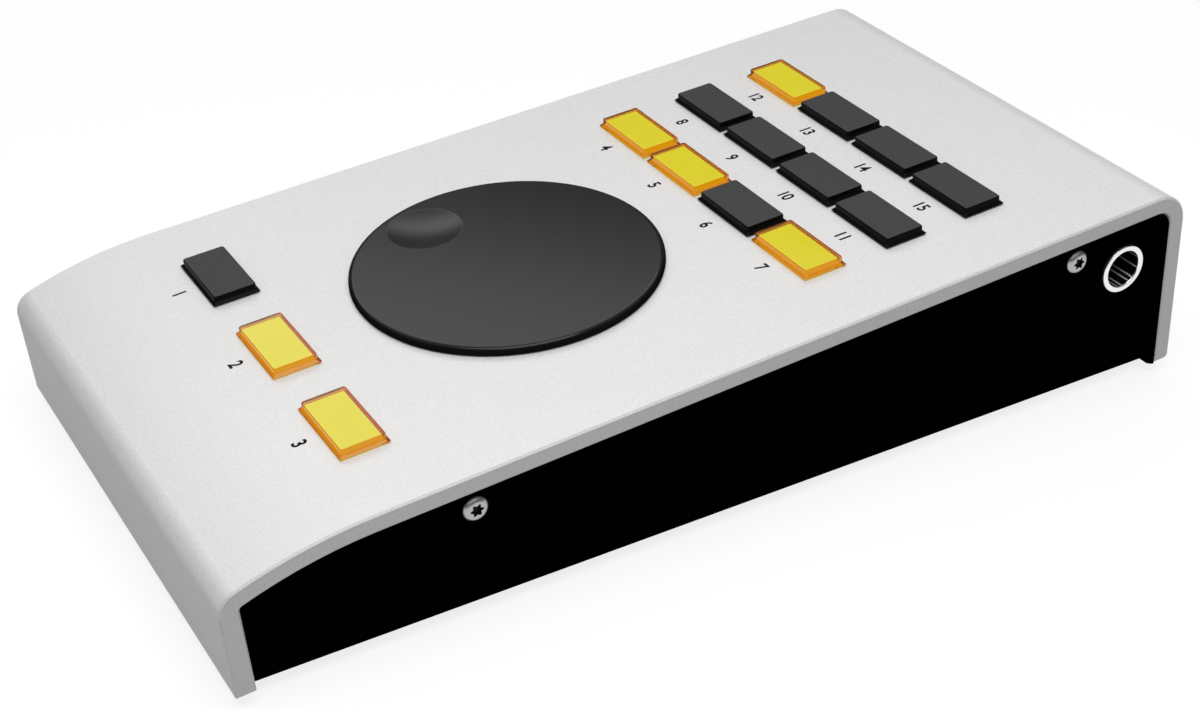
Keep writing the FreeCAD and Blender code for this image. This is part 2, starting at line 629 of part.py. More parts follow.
def make_keycap(name, x, u):
    """A hollow moulded cap with a sloping skirt all round its foot. It floats over the cover on its
    carrier."""
    body = new_body(f"keycap_{name}", x, u)
    foot = new_sketch(body, "XY_Plane", "skirt_outline", "Size.key_gap")
    draw_rectangle(foot, "0", "0", "Size.cap_wide + 2 * Size.skirt_reach",
                   "Size.cap_deep + 2 * Size.skirt_reach")
    pad(body, foot, "Size.skirt_height", "skirt", taper="-atan(Size.skirt_reach / Size.skirt_height)")
    block(body, "cap", "0", "0", "Size.key_gap", "Size.cap_top - Size.key_gap",
          "Size.cap_wide", "Size.cap_deep")
    dress(body, "Chamfer", edges_where(body, upright), "min(Size.cap_corner; Size.cap_wall * 0.9)",
          "corners")
    top = measured("Size.cap_top")
    rim = edges_where(body, lambda edge: edge.BoundBox.ZMin > top - 0.01)
    dress(body, "Chamfer", rim, "min(Size.cap_edge; Size.cap_skin * 0.9)", "rim")
    block(body, "hollow", "0", "0", "Size.key_gap - 1", f"{HOLLOW_TOP} - Size.key_gap + 1",
          HOLLOW_WIDE, HOLLOW_DEEP, kind="Pocket")


def make_key_plunger(name, x, u):
    """The carrier of one cap: a head inside the cap, a neck through the cover and a square rod that
    presses the switch."""
    body = new_body(f"key_plunger_{name}", x, u)
    block(body, "head", "0", "0", "Size.key_gap", "Size.carrier_head",
          f"{HOLLOW_WIDE} - 2 * Size.insert_play", f"{HOLLOW_DEEP} - 2 * Size.insert_play")
    block(body, "neck", "0", "0", "-Size.neck_end", "Size.neck_end + Size.key_gap",
          "Size.neck_wide", "Size.neck_deep")
    rod_end = "(-Size.board_drop + Size.switch_height - Size.rod_depth)"
    block(body, "rod", "0", "0", rod_end, f"-Size.neck_end - {rod_end}", "Size.rod_side", "Size.rod_side")


def make_glow_insert(name, x, u):
    """The light block that fills the cap of a lit key, down to the head of its carrier."""
    body = new_body(f"glow_insert_{name}", x, u)
    foot = "(Size.key_gap + Size.carrier_head)"
    block(body, "light", "0", "0", foot, f"{HOLLOW_TOP} - Size.insert_play - {foot}",
          f"{HOLLOW_WIDE} - 2 * Size.insert_play", f"{HOLLOW_DEEP} - 2 * Size.insert_play")


def make_switch_bodies():
    """The square case of each key's switch, with the bore that guides the rod."""
    body = new_body("switch_bodies", w="-Size.board_drop")

    def case(name, x, u):
        bore = ("min(Size.rod_depth + Size.key_travel + Size.rod_play;"
                " Size.switch_height - Size.switch_floor)")
        solid = block(body, f"{name}_case", x, u, "0", "Size.switch_height",
                      "Size.switch_side", "Size.switch_side")
        hole = block(body, f"{name}_bore", x, u, f"Size.switch_height - {bore}", f"{bore} + 1",
                     "Size.rod_side + 2 * Size.rod_play", "Size.rod_side + 2 * Size.rod_play",
                     kind="Pocket")
        return [solid, hole]

    at_every_key(body, case)


def make_key_lamps():
    """The small lamp beside each switch that lights its key from below."""
    body = new_body("key_lamps", w="-Size.board_drop")

    def lamp(name, x, u):
        return [block(body, f"{name}_lamp", f"{x} + Size.lamp_place", u, "0", "Size.lamp_height",
                      "Size.lamp_wide", "Size.lamp_deep")]

    at_every_key(body, lamp)


# --------------------------------------------------------------------------------------------------
# Dial and encoder
# --------------------------------------------------------------------------------------------------

def draw_shaft(sketch, radius):
    """A round section with one flat, towards the rear."""
    flat = "Size.shaft_flat"
    half = f"sqrt(({radius}) ^ 2 - {flat} ^ 2)"
    draw_outline(sketch, [(half, flat), (f"-{half}", flat), ("0", f"-({radius})")],
                 {1: (radius, 1), 2: (radius, 1)})


# The dial's curved edges are turned in a few straight steps.
RIM_STEPS = 2
BOWL_STEPS = 3


def make_dial_knob():
    """A flat disc with a rounded rim, a finger dimple and a hub that reaches down through the
    cover to the encoder's shaft."""
    body = new_body("dial_knob", u="Place.dial_place")
    low, top = "Size.dial_gap", "(Size.dial_gap + Size.dial_thick)"
    section = new_sketch(body, "XZ_Plane", "section")
    points = [("0", "-Size.hub_end"), ("Size.hub_radius", "-Size.hub_end"), ("Size.hub_radius", low),
              ("Size.dial_radius - Size.dial_foot_edge", low),
              ("Size.dial_radius", f"{low} + Size.dial_foot_edge")]
    points += [(f"Size.dial_radius - Size.dial_edge * (1 - cos({90 * step / RIM_STEPS}))",
                f"{top} - Size.dial_edge * (1 - sin({90 * step / RIM_STEPS}))")
               for step in range(RIM_STEPS + 1)]
    draw_outline(section, points + [("0", top)])
    turned = body.newObject("PartDesign::Revolution", "dial_knob_turned")
    turned.Profile = section
    turned.ReferenceAxis = (origin_of(body, "Z_Axis"), [""])
    doc.recompute()

    bore = new_sketch(body, "XY_Plane", "bore_outline", "-Size.hub_end")
    draw_shaft(bore, "Size.shaft_radius + Size.shaft_fit")
    pocket(body, bore, "Size.hub_end - Size.hub_bore_end", "bore", backwards=True)

    # The dimple is a shallow bowl, turned about its own axis.
    bowl = "((Size.dimple_radius ^ 2 + Size.dimple_depth ^ 2) / (2 * Size.dimple_depth))"
    x = "Size.dimple_out * cos(Size.dimple_angle)"
    groove_section = new_sketch(body, "XZ_Plane", "dimple_outline",
                                "-Size.dimple_out * sin(Size.dimple_angle)")
    turns = [f"asin(Size.dimple_radius / {bowl}) * {step / BOWL_STEPS}" for step in range(BOWL_STEPS)]
    draw_outline(groove_section, [(f"{x} + {bowl} * sin({turn})",
                                   f"{top} - Size.dimple_depth + {bowl} * (1 - cos({turn}))")
                                  for turn in turns] + [(f"{x} + Size.dimple_radius", top), (x, top)])
    groove = body.newObject("PartDesign::Groove", "dial_knob_dimple")
    groove.Profile = groove_section
    groove.ReferenceAxis = (groove_section, [f"Edge{BOWL_STEPS + 2}"])
    doc.recompute()


def make_encoder_shaft():
    body = new_body("encoder_shaft", u="Place.dial_place")
    foot = "-Size.hub_end - Size.bush_gap - Size.shaft_depth"
    flatted = new_sketch(body, "XY_Plane", "flatted_outline", "-Size.hub_end")
    draw_shaft(flatted, "Size.shaft_radius")
    pad(body, flatted, "Size.hub_end - Size.hub_bore_end - Size.shaft_fit", "flatted")
    drum(body, "round", "0", "0", foot, "Size.bush_gap + Size.shaft_depth", "Size.shaft_radius")


def make_encoder_body():
    """The square case of the encoder, with the bush that carries the shaft."""
    body = new_body("encoder_body", u="Place.dial_place")
    bush_top = "(-Size.hub_end - Size.bush_gap)"
    board = "-Size.board_drop"
    block(body, "case", "0", "0", board, "Size.encoder_height", "Size.encoder_side", "Size.encoder_side")
    drum(body, "bush", "0", "0", board, f"{bush_top} + Size.board_drop", "Size.bush_radius")
    drum(body, "bore", "0", "0", f"{board} + Size.encoder_floor",
         f"{bush_top} + Size.board_drop - Size.encoder_floor + 1", "Size.shaft_radius + Size.shaft_play",
         kind="Pocket")


# --------------------------------------------------------------------------------------------------
# Boards
# --------------------------------------------------------------------------------------------------

# Places of the spacers on the right side. The front one stands between two keys of the front row and
# the rear one between the last two rows of keys.
SPACERS = [("Size.front_key_pitch / 2", "Size.front_row"),
           ("Place.board_half - Size.spacer_inset",
            f"Place.rear_row + Size.row_pitch * {BLOCK_ROWS - 1.5}")]


def at_every_spacer(body, make):
    """Make features at each spacer on the right side and mirror them. make(name, x, u) returns
    the features."""
    originals = [feature for number, (x, u) in enumerate(SPACERS)
                 for feature in make(f"pair_{number}", x, u)]
    repeat(body, originals, [mirror_of(body, "YZ_Plane", "sides")], "both_sides")


def board_plate(body, left, right, front, rear):
    """A board with chamfered corners whose top is the body's own XY plane."""
    block(body, "plate", f"({left} + {right}) / 2", f"({front} + {rear}) / 2",
          "-Size.board_sheet", "Size.board_sheet", f"{right} - {left}", f"{rear} - {front}")
    dress(body, "Chamfer", edges_where(body, upright), "Size.board_corner", "corners")


def draw_hexagon(sketch, x, y, side):
    draw_outline(sketch, [(f"{x} + {side} * cos({60 * corner})", f"{y} + {side} * sin({60 * corner})")
                          for corner in range(6)])


def make_main_board():
    body = new_body("main_board", w="-Size.board_drop")
    board_plate(body, "(-Place.board_half)", "Place.board_half", "Size.board_front", "Place.board_rear")

    def hole(name, x, u):
        return [drum(body, f"{name}_hole", x, u, "-Size.board_sheet - 1", "Size.board_sheet + 2",
                     "Size.board_screw_radius + Size.board_screw_play", kind="Pocket")]

    at_every_spacer(body, hole)


def make_board_spacers():
    """Four tapped hexagonal spacers, fixed under the cover, that carry the main board."""
    body = new_body("board_spacers", w="-Size.board_drop")

    def spacer(name, x, u):
        outline = new_sketch(body, "XY_Plane", f"{name}_post_outline")
        draw_hexagon(outline, x, u, "Size.spacer_side")
        post = pad(body, outline, "Size.board_drop - Size.sheet", f"{name}_post")
        thread = drum(body, f"{name}_thread", x, u, "-1", "Size.board_screw_reach + 2",
                      "Size.board_screw_radius + Size.thread_play", kind="Pocket")
        return [post, thread]

    at_every_spacer(body, spacer)


def make_board_screws():
    body = new_body("board_screws", w="-Size.board_drop - Size.board_sheet")

    def screw(name, x, u):
        outline = new_sketch(body, "XY_Plane", f"{name}_head_outline", "-Size.board_screw_head_height")
        draw_hexagon(outline, x, u, "Size.board_screw_head")
        head = pad(body, outline, "Size.board_screw_head_height", f"{name}_head")
        shank = drum(body, f"{name}_shank", x, u, "0", "Size.board_sheet + Size.board_screw_reach",
                     "Size.board_screw_radius")
        return [head, shank]

    at_every_spacer(body, screw)


def make_rear_board():
    """The lower board that carries the jack and the data inlet, close under the main board."""
    body = new_body("rear_board", w="-Place.rear_board_drop")
    board_plate(body, "(Place.inlet_place - Size.inlet_wide / 2 - Size.rear_board_left)",
                "(Place.tray_inside - Size.rear_board_margin)", "(Place.board_rear - Size.board_lap)",
                "(Size.length - Place.tray_skin - Size.tray_sheet - Size.rear_board_margin)")


def make_board_header():
    """The plug and socket block between the boards, in the middle of their lap."""
    body = new_body("board_header")
    top = "(-Size.board_drop - Size.board_sheet)"
    block(body, "housing", "Place.inlet_place", "Place.board_rear - Size.board_lap / 2",
          "-Place.rear_board_drop", f"{top} + Place.rear_board_drop", "Size.header_wide",
          "Size.header_deep")


# --------------------------------------------------------------------------------------------------
# Jack socket
# --------------------------------------------------------------------------------------------------

# How far the ferrule reaches into the jack's body.
FERRULE_SEAT = "(Size.ferrule_length - Size.tray_sheet - Size.ferrule_proud)"


def make_jack_body():
    """The moulded body of the jack, against the inside of the tray's right side. The plug goes in
    along x, so the hollow and the ferrule's seat are cut from the right."""
    body = new_body("jack_body", u="Place.jack_place", w="-Size.jack_drop")
    block(body, "case", "Place.tray_inside - Size.jack_length / 2", "0", "-Size.jack_half",
          "2 * Size.jack_half", "Size.jack_length", "2 * Size.jack_half")
    hollow = new_sketch(body, "YZ_Plane", "hollow_outline", "Place.tray_inside")
    draw_circle(hollow, "0", "0", "Size.jack_bore_radius + Size.jack_play")
    pocket(body, hollow, "Size.jack_hollow", "hollow")
    seat = new_sketch(body, "YZ_Plane", "seat_outline", "Place.tray_inside")
    draw_circle(seat, "0", "0", "Size.ferrule_radius")
    pocket(body, seat, FERRULE_SEAT, "seat")
    slots = new_sketch(body, "XY_Plane", "slots_outline")
    draw_rectangle(slots, f"Place.tray_inside - {FERRULE_SEAT} - Size.spring_length / 2", "0",
                   "Size.spring_length",
                   "2 * (Size.jack_bore_radius + Size.jack_play + Size.spring_sheet)")
    pocket(body, slots, "Size.spring_wide", "slots", symmetric=True)


def make_jack_ferrule():
    """The bright metal ring that guides the plug and stands a little out of the tray's side."""
    body = new_body("jack_ferrule", u="Place.jack_place", w="-Size.jack_drop")
    mouth = "(Place.tray_half + Size.ferrule_proud)"
    ring = new_sketch(body, "YZ_Plane", "ring_outline", mouth)
    draw_circle(ring, "0", "0", "Size.ferrule_radius")
    draw_circle(ring, "0", "0", "Size.jack_bore_radius")
    pad(body, ring, "Size.ferrule_length", "ring", backwards=True)
    face = measured(mouth)
    rims = edges_where(body, lambda edge: edge.BoundBox.XMin > face - 0.01
                       and edge.BoundBox.YLength > measured("2 * Size.ferrule_radius") - 0.1)
    dress(body, "Chamfer", rims, "Size.ferrule_edge", "mouth")


def make_jack_springs():
    """Two contact springs in the slots beside the bore."""
    body = new_body("jack_springs", u="Place.jack_place", w="-Size.jack_drop")
    reach = "(Size.jack_bore_radius + Size.jack_play + Size.spring_sheet / 2)"
    strip = block(body, "strip", f"Place.tray_inside - {FERRULE_SEAT} - Size.spring_length / 2", reach,
                  "-Size.spring_wide / 2", "Size.spring_wide", "Size.spring_length", "Size.spring_sheet")
    repeat(body, [strip], [mirror_of(body, "XZ_Plane", "sides")], "pair")


# --------------------------------------------------------------------------------------------------
# Data inlet
# --------------------------------------------------------------------------------------------------

def draw_inlet(sketch, margin):
    """The outline of the data inlet, a square with slanted upper corners, seen from the front and
    larger by a margin. It stands on the rear board."""
    left = f"(Place.inlet_place - Size.inlet_wide / 2 - ({margin}))"
    right = f"(Place.inlet_place + Size.inlet_wide / 2 + ({margin}))"
    low = f"(-Place.rear_board_drop - ({margin}))"
    high = f"(-Place.rear_board_drop + Size.inlet_high + ({margin}))"
    slant = f"(Size.inlet_corner + ({margin}) * (2 - sqrt(2)))"
    draw_outline(sketch, [(left, low), (right, low), (right, f"{high} - {slant}"),
                          (f"{right} - {slant}", high), (f"{left} + {slant}", high),
                          (left, f"{high} - {slant}")])


INLET_MOUTH = "(Size.length - Size.inlet_recess)"


def make_inlet_shell():
    """The folded metal shell of the data inlet, open at the rear."""
    body = new_body("inlet_shell")
    outside = new_sketch(body, "XZ_Plane", "outside", f"-{INLET_MOUTH}")
    draw_inlet(outside, "0")
    pad(body, outside, "Size.inlet_long", "shell")
    inside = new_sketch(body, "XZ_Plane", "inside", f"-{INLET_MOUTH}")
    draw_inlet(inside, "-Size.inlet_sheet")
    pocket(body, inside, "Size.inlet_long - Size.inlet_sheet", "cavity", backwards=True)


def make_inlet_tongue():
    """The insulator at the back of the inlet, with the tongue that carries the contacts."""
    body = new_body("inlet_tongue")
    root = f"({INLET_MOUTH} - Size.inlet_long + Size.inlet_sheet)"
    base = new_sketch(body, "XZ_Plane", "base_outline", f"-({root} + Size.inlet_root)")
    draw_inlet(base, "-Size.inlet_sheet - Size.insert_play")
    pad(body, base, "Size.inlet_root", "base")
    tongue = new_sketch(body, "XZ_Plane", "tongue_outline",
                        f"-({root} + Size.inlet_root + Size.tongue_long)")
    draw_rectangle(tongue, "Place.inlet_place", "-Place.rear_board_drop + Size.inlet_high / 2",
                   "Size.tongue_wide", "Size.tongue_high")
    pad(body, tongue, "Size.tongue_long", "tongue")


# --------------------------------------------------------------------------------------------------
# The whole controller
# --------------------------------------------------------------------------------------------------

make_top_shell()
make_base_tray()
make_rubber_feet()
make_side_screws()
make_fixing_blocks()
make_main_board()
make_board_spacers()
make_board_screws()
make_rear_board()
make_board_header()
make_switch_bodies()
make_key_lamps()
make_encoder_body()
make_encoder_shaft()
make_dial_knob()
make_jack_body()
make_jack_ferrule()
make_jack_springs()
make_inlet_shell()
make_inlet_tongue()
for key, (key_x, key_u) in KEYS.items():
    make_keycap(key, key_x, key_u)
    make_key_plunger(key, key_x, key_u)
    if key in LIT_KEYS:
        make_glow_insert(key, key_x, key_u)

doc.recompute()
for item in doc.Objects:
    if {"Invalid", "Error"} & set(item.State):
        raise RuntimeError(f"{item.Name} failed: {item.State}")
for piece in pieces:
    if piece.Shape.isNull() or not piece.Shape.isValid():
        raise RuntimeError(f"{piece.Label} has no valid shape")

os.makedirs("parts", exist_ok=True)
for piece in pieces:
    piece.Shape.exportStep(f"parts/{piece.Label}.step")
    box = piece.Shape.BoundBox
    print(f"{piece.Label}: {len(piece.Shape.Solids)} solids, {piece.Shape.Volume:.2f} mm3,"
          f" x {box.XMin:.2f} {box.XMax:.2f} y {box.YMin:.2f} {box.YMax:.2f}"
          f" z {box.ZMin:.2f} {box.ZMax:.2f}")
print(f"{len(pieces)} pieces")
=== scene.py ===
# %% [markdown]
# # A monitor controller, dressed in Blender
# The object is a desk controller for studio monitors: a bent aluminium cover with a wide dial and
# fifteen keys, over a black steel tray. Its solid model is already made, so this lesson adds what a
# solid model leaves out: metal grain, clear amber plastic, rolled edges, printed numbers and light.
# The first cell loads that model as a fixed frame. Nothing in it is moved afterwards.

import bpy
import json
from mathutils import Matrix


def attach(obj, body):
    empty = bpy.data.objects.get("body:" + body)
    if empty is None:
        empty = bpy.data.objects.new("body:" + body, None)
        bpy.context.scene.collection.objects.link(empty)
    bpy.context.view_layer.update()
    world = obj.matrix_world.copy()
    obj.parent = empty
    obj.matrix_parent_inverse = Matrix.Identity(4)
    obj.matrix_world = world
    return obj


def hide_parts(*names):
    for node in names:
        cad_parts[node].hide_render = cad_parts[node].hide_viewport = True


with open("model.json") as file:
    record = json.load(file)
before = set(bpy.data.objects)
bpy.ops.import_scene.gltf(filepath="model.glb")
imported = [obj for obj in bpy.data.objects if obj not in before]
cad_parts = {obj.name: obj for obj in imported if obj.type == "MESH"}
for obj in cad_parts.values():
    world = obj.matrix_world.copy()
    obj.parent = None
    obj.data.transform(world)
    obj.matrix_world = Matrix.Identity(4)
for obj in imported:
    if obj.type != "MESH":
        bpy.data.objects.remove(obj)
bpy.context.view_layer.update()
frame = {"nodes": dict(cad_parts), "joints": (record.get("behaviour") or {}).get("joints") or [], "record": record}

# %% [markdown]
# The modules that the rest of the lesson uses are loaded here.

# %% Modules
import json
import math

import bmesh
import bpy
from mathutils import Vector

# %% [markdown]
# The top of the controller slopes, and every key and the dial stand square on it. It is easier to
# think in the slope's own directions: x to the right, u towards the rear along the metal, and w
# straight out of it. They could be typed in as an angle, but the dial's axle already points along
# w, so they are taken from its joint and stay right if the slope changes.

# %% Directions of the sloping top
MM = 0.001
axle = next(joint for joint in frame["joints"] if joint["name"] == "dial_spin")
OUT = Vector(axle["axis"]).normalized()
ACROSS = Vector((1, 0, 0))
BACK = OUT.cross(ACROSS).normalized()
DIAL_PLACE = 67.45
ORIGIN = Vector(axle["pos_m"]) - BACK * DIAL_PLACE * MM


def deck(x, u, w=0.0):
    """A point in metres, from millimetres along the sloping top."""
    return ORIGIN + (ACROSS * x + BACK * u + OUT * w) * MM


print("slope", round(math.degrees(math.asin(BACK.z)), 3), "degrees")

# %% [markdown]
# The camera has a longish lens and looks down over the right-hand side from a third of a metre
# off, because a wide lens close by would make the near corner look huge. An aiming constraint
# could turn it, but a level camera needs only a position, a heading and a dip.

# %% Camera
EYE = deck(244.368, -47.056, 167.938)
HEADING = math.radians(149.6125)
DIP = math.radians(32.6085)
SENSOR_WIDTH, LENS_LENGTH = 36.0, 60.442
NEAREST, FARTHEST = 0.01, 20.0


def put_in_scene(name, data):
    """A new object around some data, linked into the scene."""
    made = bpy.data.objects.new(name, data)
    bpy.context.scene.collection.objects.link(made)
    return made


sight = Vector((math.cos(HEADING) * math.cos(DIP), math.sin(HEADING) * math.cos(DIP),
                -math.sin(DIP)))
camera = put_in_scene("camera", bpy.data.cameras.new("camera"))
bpy.context.scene.camera = camera
camera.location = EYE
camera.rotation_mode = "QUATERNION"
camera.rotation_quaternion = sight.to_track_quat("-Z", "Y")
camera.data.sensor_width = SENSOR_WIDTH
camera.data.lens = LENS_LENGTH
camera.data.clip_start, camera.data.clip_end = NEAREST, FARTHEST
print("camera", [round(value, 4) for value in camera.location], "lens", round(camera.data.lens, 2))

# %% [markdown]
# Shader maths reads best as plain arithmetic. A `Wire` holds one output socket, and adding or
# multiplying wires adds Math nodes behind the scenes, so `0.4 + 0.2 * grain` is a roughness. A
# `Sheet` is one node tree: it adds any other node by its type, its settings and its sockets.

# %% Arithmetic on sockets
class Wire:
    """One output socket. Arithmetic on wires adds Math nodes."""

    def __init__(self, sheet, socket):
        self.sheet, self.socket = sheet, socket

    def maths(self, operation, *values):
        return self.sheet.node("ShaderNodeMath", {"operation": operation}, list(values))

    def __add__(self, other):
        return self.maths("ADD", self, other)

    def __sub__(self, other):
        return self.maths("SUBTRACT", self, other)

    def __rsub__(self, other):
        return self.maths("SUBTRACT", other, self)

    def __mul__(self, other):
        return self.maths("MULTIPLY", self, other)

    __radd__, __rmul__ = __add__, __mul__


class Sheet:
    """One node tree, around the shader that it already has."""

    def __init__(self, tree, shader_kind):
        self.tree = tree
        self.shader = next(n for n in tree.nodes if n.bl_idname == shader_kind)

    def set(self, node, sockets):
        """Fill a node's sockets, by name or in order, with values or wires."""
        pairs = enumerate(sockets) if isinstance(sockets, list) else sockets.items()
        for key, value in pairs:
            socket = node.inputs[key] if isinstance(key, int) else next(
                s for s in node.inputs if s.name == key and not s.is_unavailable)
            if isinstance(value, Wire):
                self.tree.links.new(value.socket, socket)
            elif socket.type == "RGBA" and len(value) == 3:
                socket.default_value = (*value, 1.0)
            else:
                socket.default_value = value

    def node(self, kind, settings, sockets, output=None):
        """A new node: its settings first, then its sockets. Gives one of its outputs as a wire."""
        made = self.tree.nodes.new(kind)
        for key, value in settings.items():
            setattr(made, key, value)
        self.set(made, sockets)
        usable = [s for s in made.outputs if not s.is_unavailable]
        return Wire(self, next((s for s in usable if s.name == output), usable[0]))

    def sharper(self, mask, low, high):
        """The mask stretched so that low becomes 0 and high becomes 1."""
        return self.node("ShaderNodeMapRange", {"interpolation_type": "SMOOTHSTEP"},
                         {"Value": mask, "From Min": low, "From Max": high})


print("wires and sheets ready")

# %% [markdown]
# A finish is one material. Every finish here grows out of noise in the object's own space, measured
# in millimetres, so grain has a true size and runs on over edges without a seam. Painted pictures
# could do the same job, but each would need the surface to be laid out flat first.

# %% One class for every finish
class Finish(Sheet):
    """One material, built up from nodes around its shader."""

    def __init__(self, name, **sockets):
        self.material = bpy.data.materials.new(name)
        self.material.use_nodes = True
        super().__init__(self.material.node_tree, "ShaderNodeBsdfPrincipled")
        self.paint(**sockets)
        self.place = self.node("ShaderNodeTexCoord", {}, {}, "Object")

    def grain(self, size_mm, detail=2.0, stretch=None):
        """Noise from 0 to 1 whose specks are about size_mm across."""
        place = self.place if stretch is None else self.node(
            "ShaderNodeVectorMath", {"operation": "MULTIPLY"}, [self.place, stretch])
        return self.node("ShaderNodeTexNoise", {"noise_dimensions": "3D"},
                         {"Vector": place, "Scale": 1.0 / (size_mm * MM), "Detail": detail})

    def between(self, mask, low, high):
        """A colour that goes from low to high with the mask."""
        return self.node("ShaderNodeMix", {"data_type": "RGBA"},
                         {"Factor": mask, "A": low, "B": high})

    def facing_out(self):
        """1 where a face looks straight out of the top, 0 where it stands upright."""
        normal = self.node("ShaderNodeNewGeometry", {}, {}, "Normal")
        return self.node("ShaderNodeVectorMath", {"operation": "DOT_PRODUCT"},
                         [normal, tuple(OUT)], "Value")

    def bump(self, height, depth_mm, strength):
        """Relief in the surface, as deep as depth_mm where the height goes from 0 to 1."""
        relief = self.node("ShaderNodeBump", {},
                           {"Strength": strength, "Distance": depth_mm * MM, "Height": height})
        self.paint(Normal=relief)

    def paint(self, **sockets):
        """Fill sockets of the shader, and give the material."""
        self.set(self.shader, {key.replace("_", " "): value for key, value in sockets.items()})
        return self.material


print("finishes ready")

# %% [markdown]
# The cover is aluminium, blasted with fine glass beads and then anodised clear. Blasting leaves
# thousands of shallow dents a fraction of a millimetre across, which scatter the light, so the
# metal looks pale and even with a faint sparkle. Dents in the mesh would need millions of faces.
# Two noises, one fine and one coarser, stand for them in the shader instead.

# %% Blasted aluminium
finish = Finish("blasted_aluminium", Metallic=0.15, IOR=1.5, Specular_IOR_Level=0.05)
fine, coarse = finish.grain(0.16, 3.0), finish.grain(0.45)
cloud = finish.grain(30.0, 1.0)
dents = 0.6 * fine + 0.4 * coarse
speck = finish.sharper(dents, 0.34, 0.66)
finish.bump(dents, 0.02, 0.35)
tone = speck * 0.8 + cloud * 0.2
ALUMINIUM = finish.paint(Base_Color=finish.between(tone, (0.72, 0.72, 0.72), (0.84, 0.84, 0.84)),
                         Roughness=0.36 + 0.12 * speck)
print("made", ALUMINIUM.name)

# %% [markdown]
# The tray is folded steel under black powder coat. Powder melts into a skin with a slight orange
# peel, and a matt powder sends back hardly any shine, so the specular level is nothing.

# %% Powder coat
finish = Finish("black_powder_coat", Specular_IOR_Level=0.0)
peel = finish.grain(0.7)
finish.bump(peel, 0.02, 0.3)
POWDER_COAT = finish.paint(Base_Color=finish.between(peel, (0.0006, 0.0006, 0.0007),
                                                     (0.0016, 0.0016, 0.0018)),
                           Roughness=0.5 + 0.15 * peel)
print("made", POWDER_COAT.name)

# %% [markdown]
# The dial has a thin clear lacquer over black. The lacquer lies on its face and stops at the rolled
# rim, so the face mirrors the studio softly while the rim stays black. Handling leaves the black
# beneath it a little uneven. In the finger dimple the lacquer is rubbed duller, so its mirror is
# softer still. How rough a coat is has to be one number for a whole material, so that takes a
# second one.


# %% Lacquered black
def lacquer(name, blur, coat):
    """Black under a clear coat: how far the coat blurs, and how strong it is."""
    made = Finish(name, Specular_IOR_Level=0.0, Coat_Roughness=blur, Coat_IOR=1.5)
    skin, wear_and_painted_light = made.grain(0.12), made.grain(9.0)
    made.bump(skin, 0.006, 0.3)
    return made.paint(Base_Color=made.between(skin, (0.005, 0.005, 0.005), (0.009, 0.009, 0.009)),
                      Roughness=0.46 + 0.08 * wear_and_painted_light + 0.05 * skin,
                      Coat_Weight=coat * made.sharper(made.facing_out(), 0.6, 0.94))


LACQUER = lacquer("lacquered_black", 0.14, 0.6)
BOWL_LACQUER = lacquer("lacquered_black_bowl", 0.30, 0.95)
print("made", LACQUER.name, BOWL_LACQUER.name)

# %% [markdown]
# The dark keys are satin black plastic. The mould is spark-eroded, which leaves an even fine grain.
# The tops are painted lighter, as painted light from the lamps above, and the walls and skirts are
# painted deep black, as painted shade. Which faces are tops could be marked by hand on every key,
# but the direction that a face looks in already tells.

# %% Satin black plastic
finish = Finish("satin_black_plastic", Specular_IOR_Level=0.06)
spark, smear = finish.grain(0.09), finish.grain(3.0)
finish.bump(spark, 0.005, 0.3)
painted_shade_black = finish.between(spark, (0.0008, 0.0008, 0.0008), (0.003, 0.003, 0.003))
wear_and_painted_light = finish.between(spark, (0.052, 0.052, 0.052), (0.062, 0.062, 0.062))
# Tops are painted a lighter grey and walls near black: painted light and painted shade.
SATIN_BLACK = finish.paint(
    Base_Color=finish.between(finish.sharper(finish.facing_out(), 0.93, 0.995), painted_shade_black, wear_and_painted_light),
    Roughness=0.30 + 0.1 * smear + 0.05 * spark)
print("made", SATIN_BLACK.name)

# %% [markdown]
# A lit key is a thick clear amber cap. The amber is a real see-through shader: light bends at its
# faces, which is what makes the lit layer under it look nearer to the front than it is. The tint is
# the shader's own colour. The flat top is a paler amber than the walls and the skirt, because light
# crosses much less of the plastic there. The mould is polished, with only a trace of flow lines.


# %% Clear amber plastic
def amber(name, dark, light):
    """Clear plastic, tinted from dark to light along faint flow lines."""
    made = Finish(name, Transmission_Weight=1.0, IOR=1.36, Specular_IOR_Level=0.1)
    flow = made.grain(2.0, stretch=(1.0, 4.0, 4.0))
    made.bump(flow, 0.01, 0.1)
    return made.paint(Base_Color=made.between(flow, dark, light), Roughness=0.01 + 0.02 * flow)


AMBER_WALL = amber("clear_amber_wall", (0.80, 0.16, 0.004), (0.84, 0.19, 0.006))
AMBER_TOP = amber("clear_amber_top", (0.96, 0.88, 0.56), (0.98, 0.92, 0.62))
print("made", AMBER_WALL.name, AMBER_TOP.name)

# %% [markdown]
# Under the amber lies a coat of milky yellow, which spreads the light of the lamp by the switch.
# A real lamp inside each key would be slow and noisy to render, so the coat sends out an even
# light of its own. Along the rear and the left it is in the shade of the key's carrier, so there
# it stays unlit and shows as a brown band through the amber. Under the skirt the light is more
# orange.


# %% Lit and unlit yellow coats
def lit_coat(name, dark, light):
    """A coat that sends out light, between two colours."""
    made = Finish(name, Base_Color=(0.02, 0.02, 0.002), Roughness=0.5, Specular_IOR_Level=0.0,
                  Emission_Strength=1.0)
    return made.paint(Emission_Color=made.between(made.grain(2.5), dark, light))


GLOW = lit_coat("lit_yellow_coat", (0.73, 0.66, 0.030), (0.77, 0.70, 0.042))
FOOT_GLOW = lit_coat("lit_skirt_coat", (0.70, 0.50, 0.018), (0.74, 0.54, 0.026))

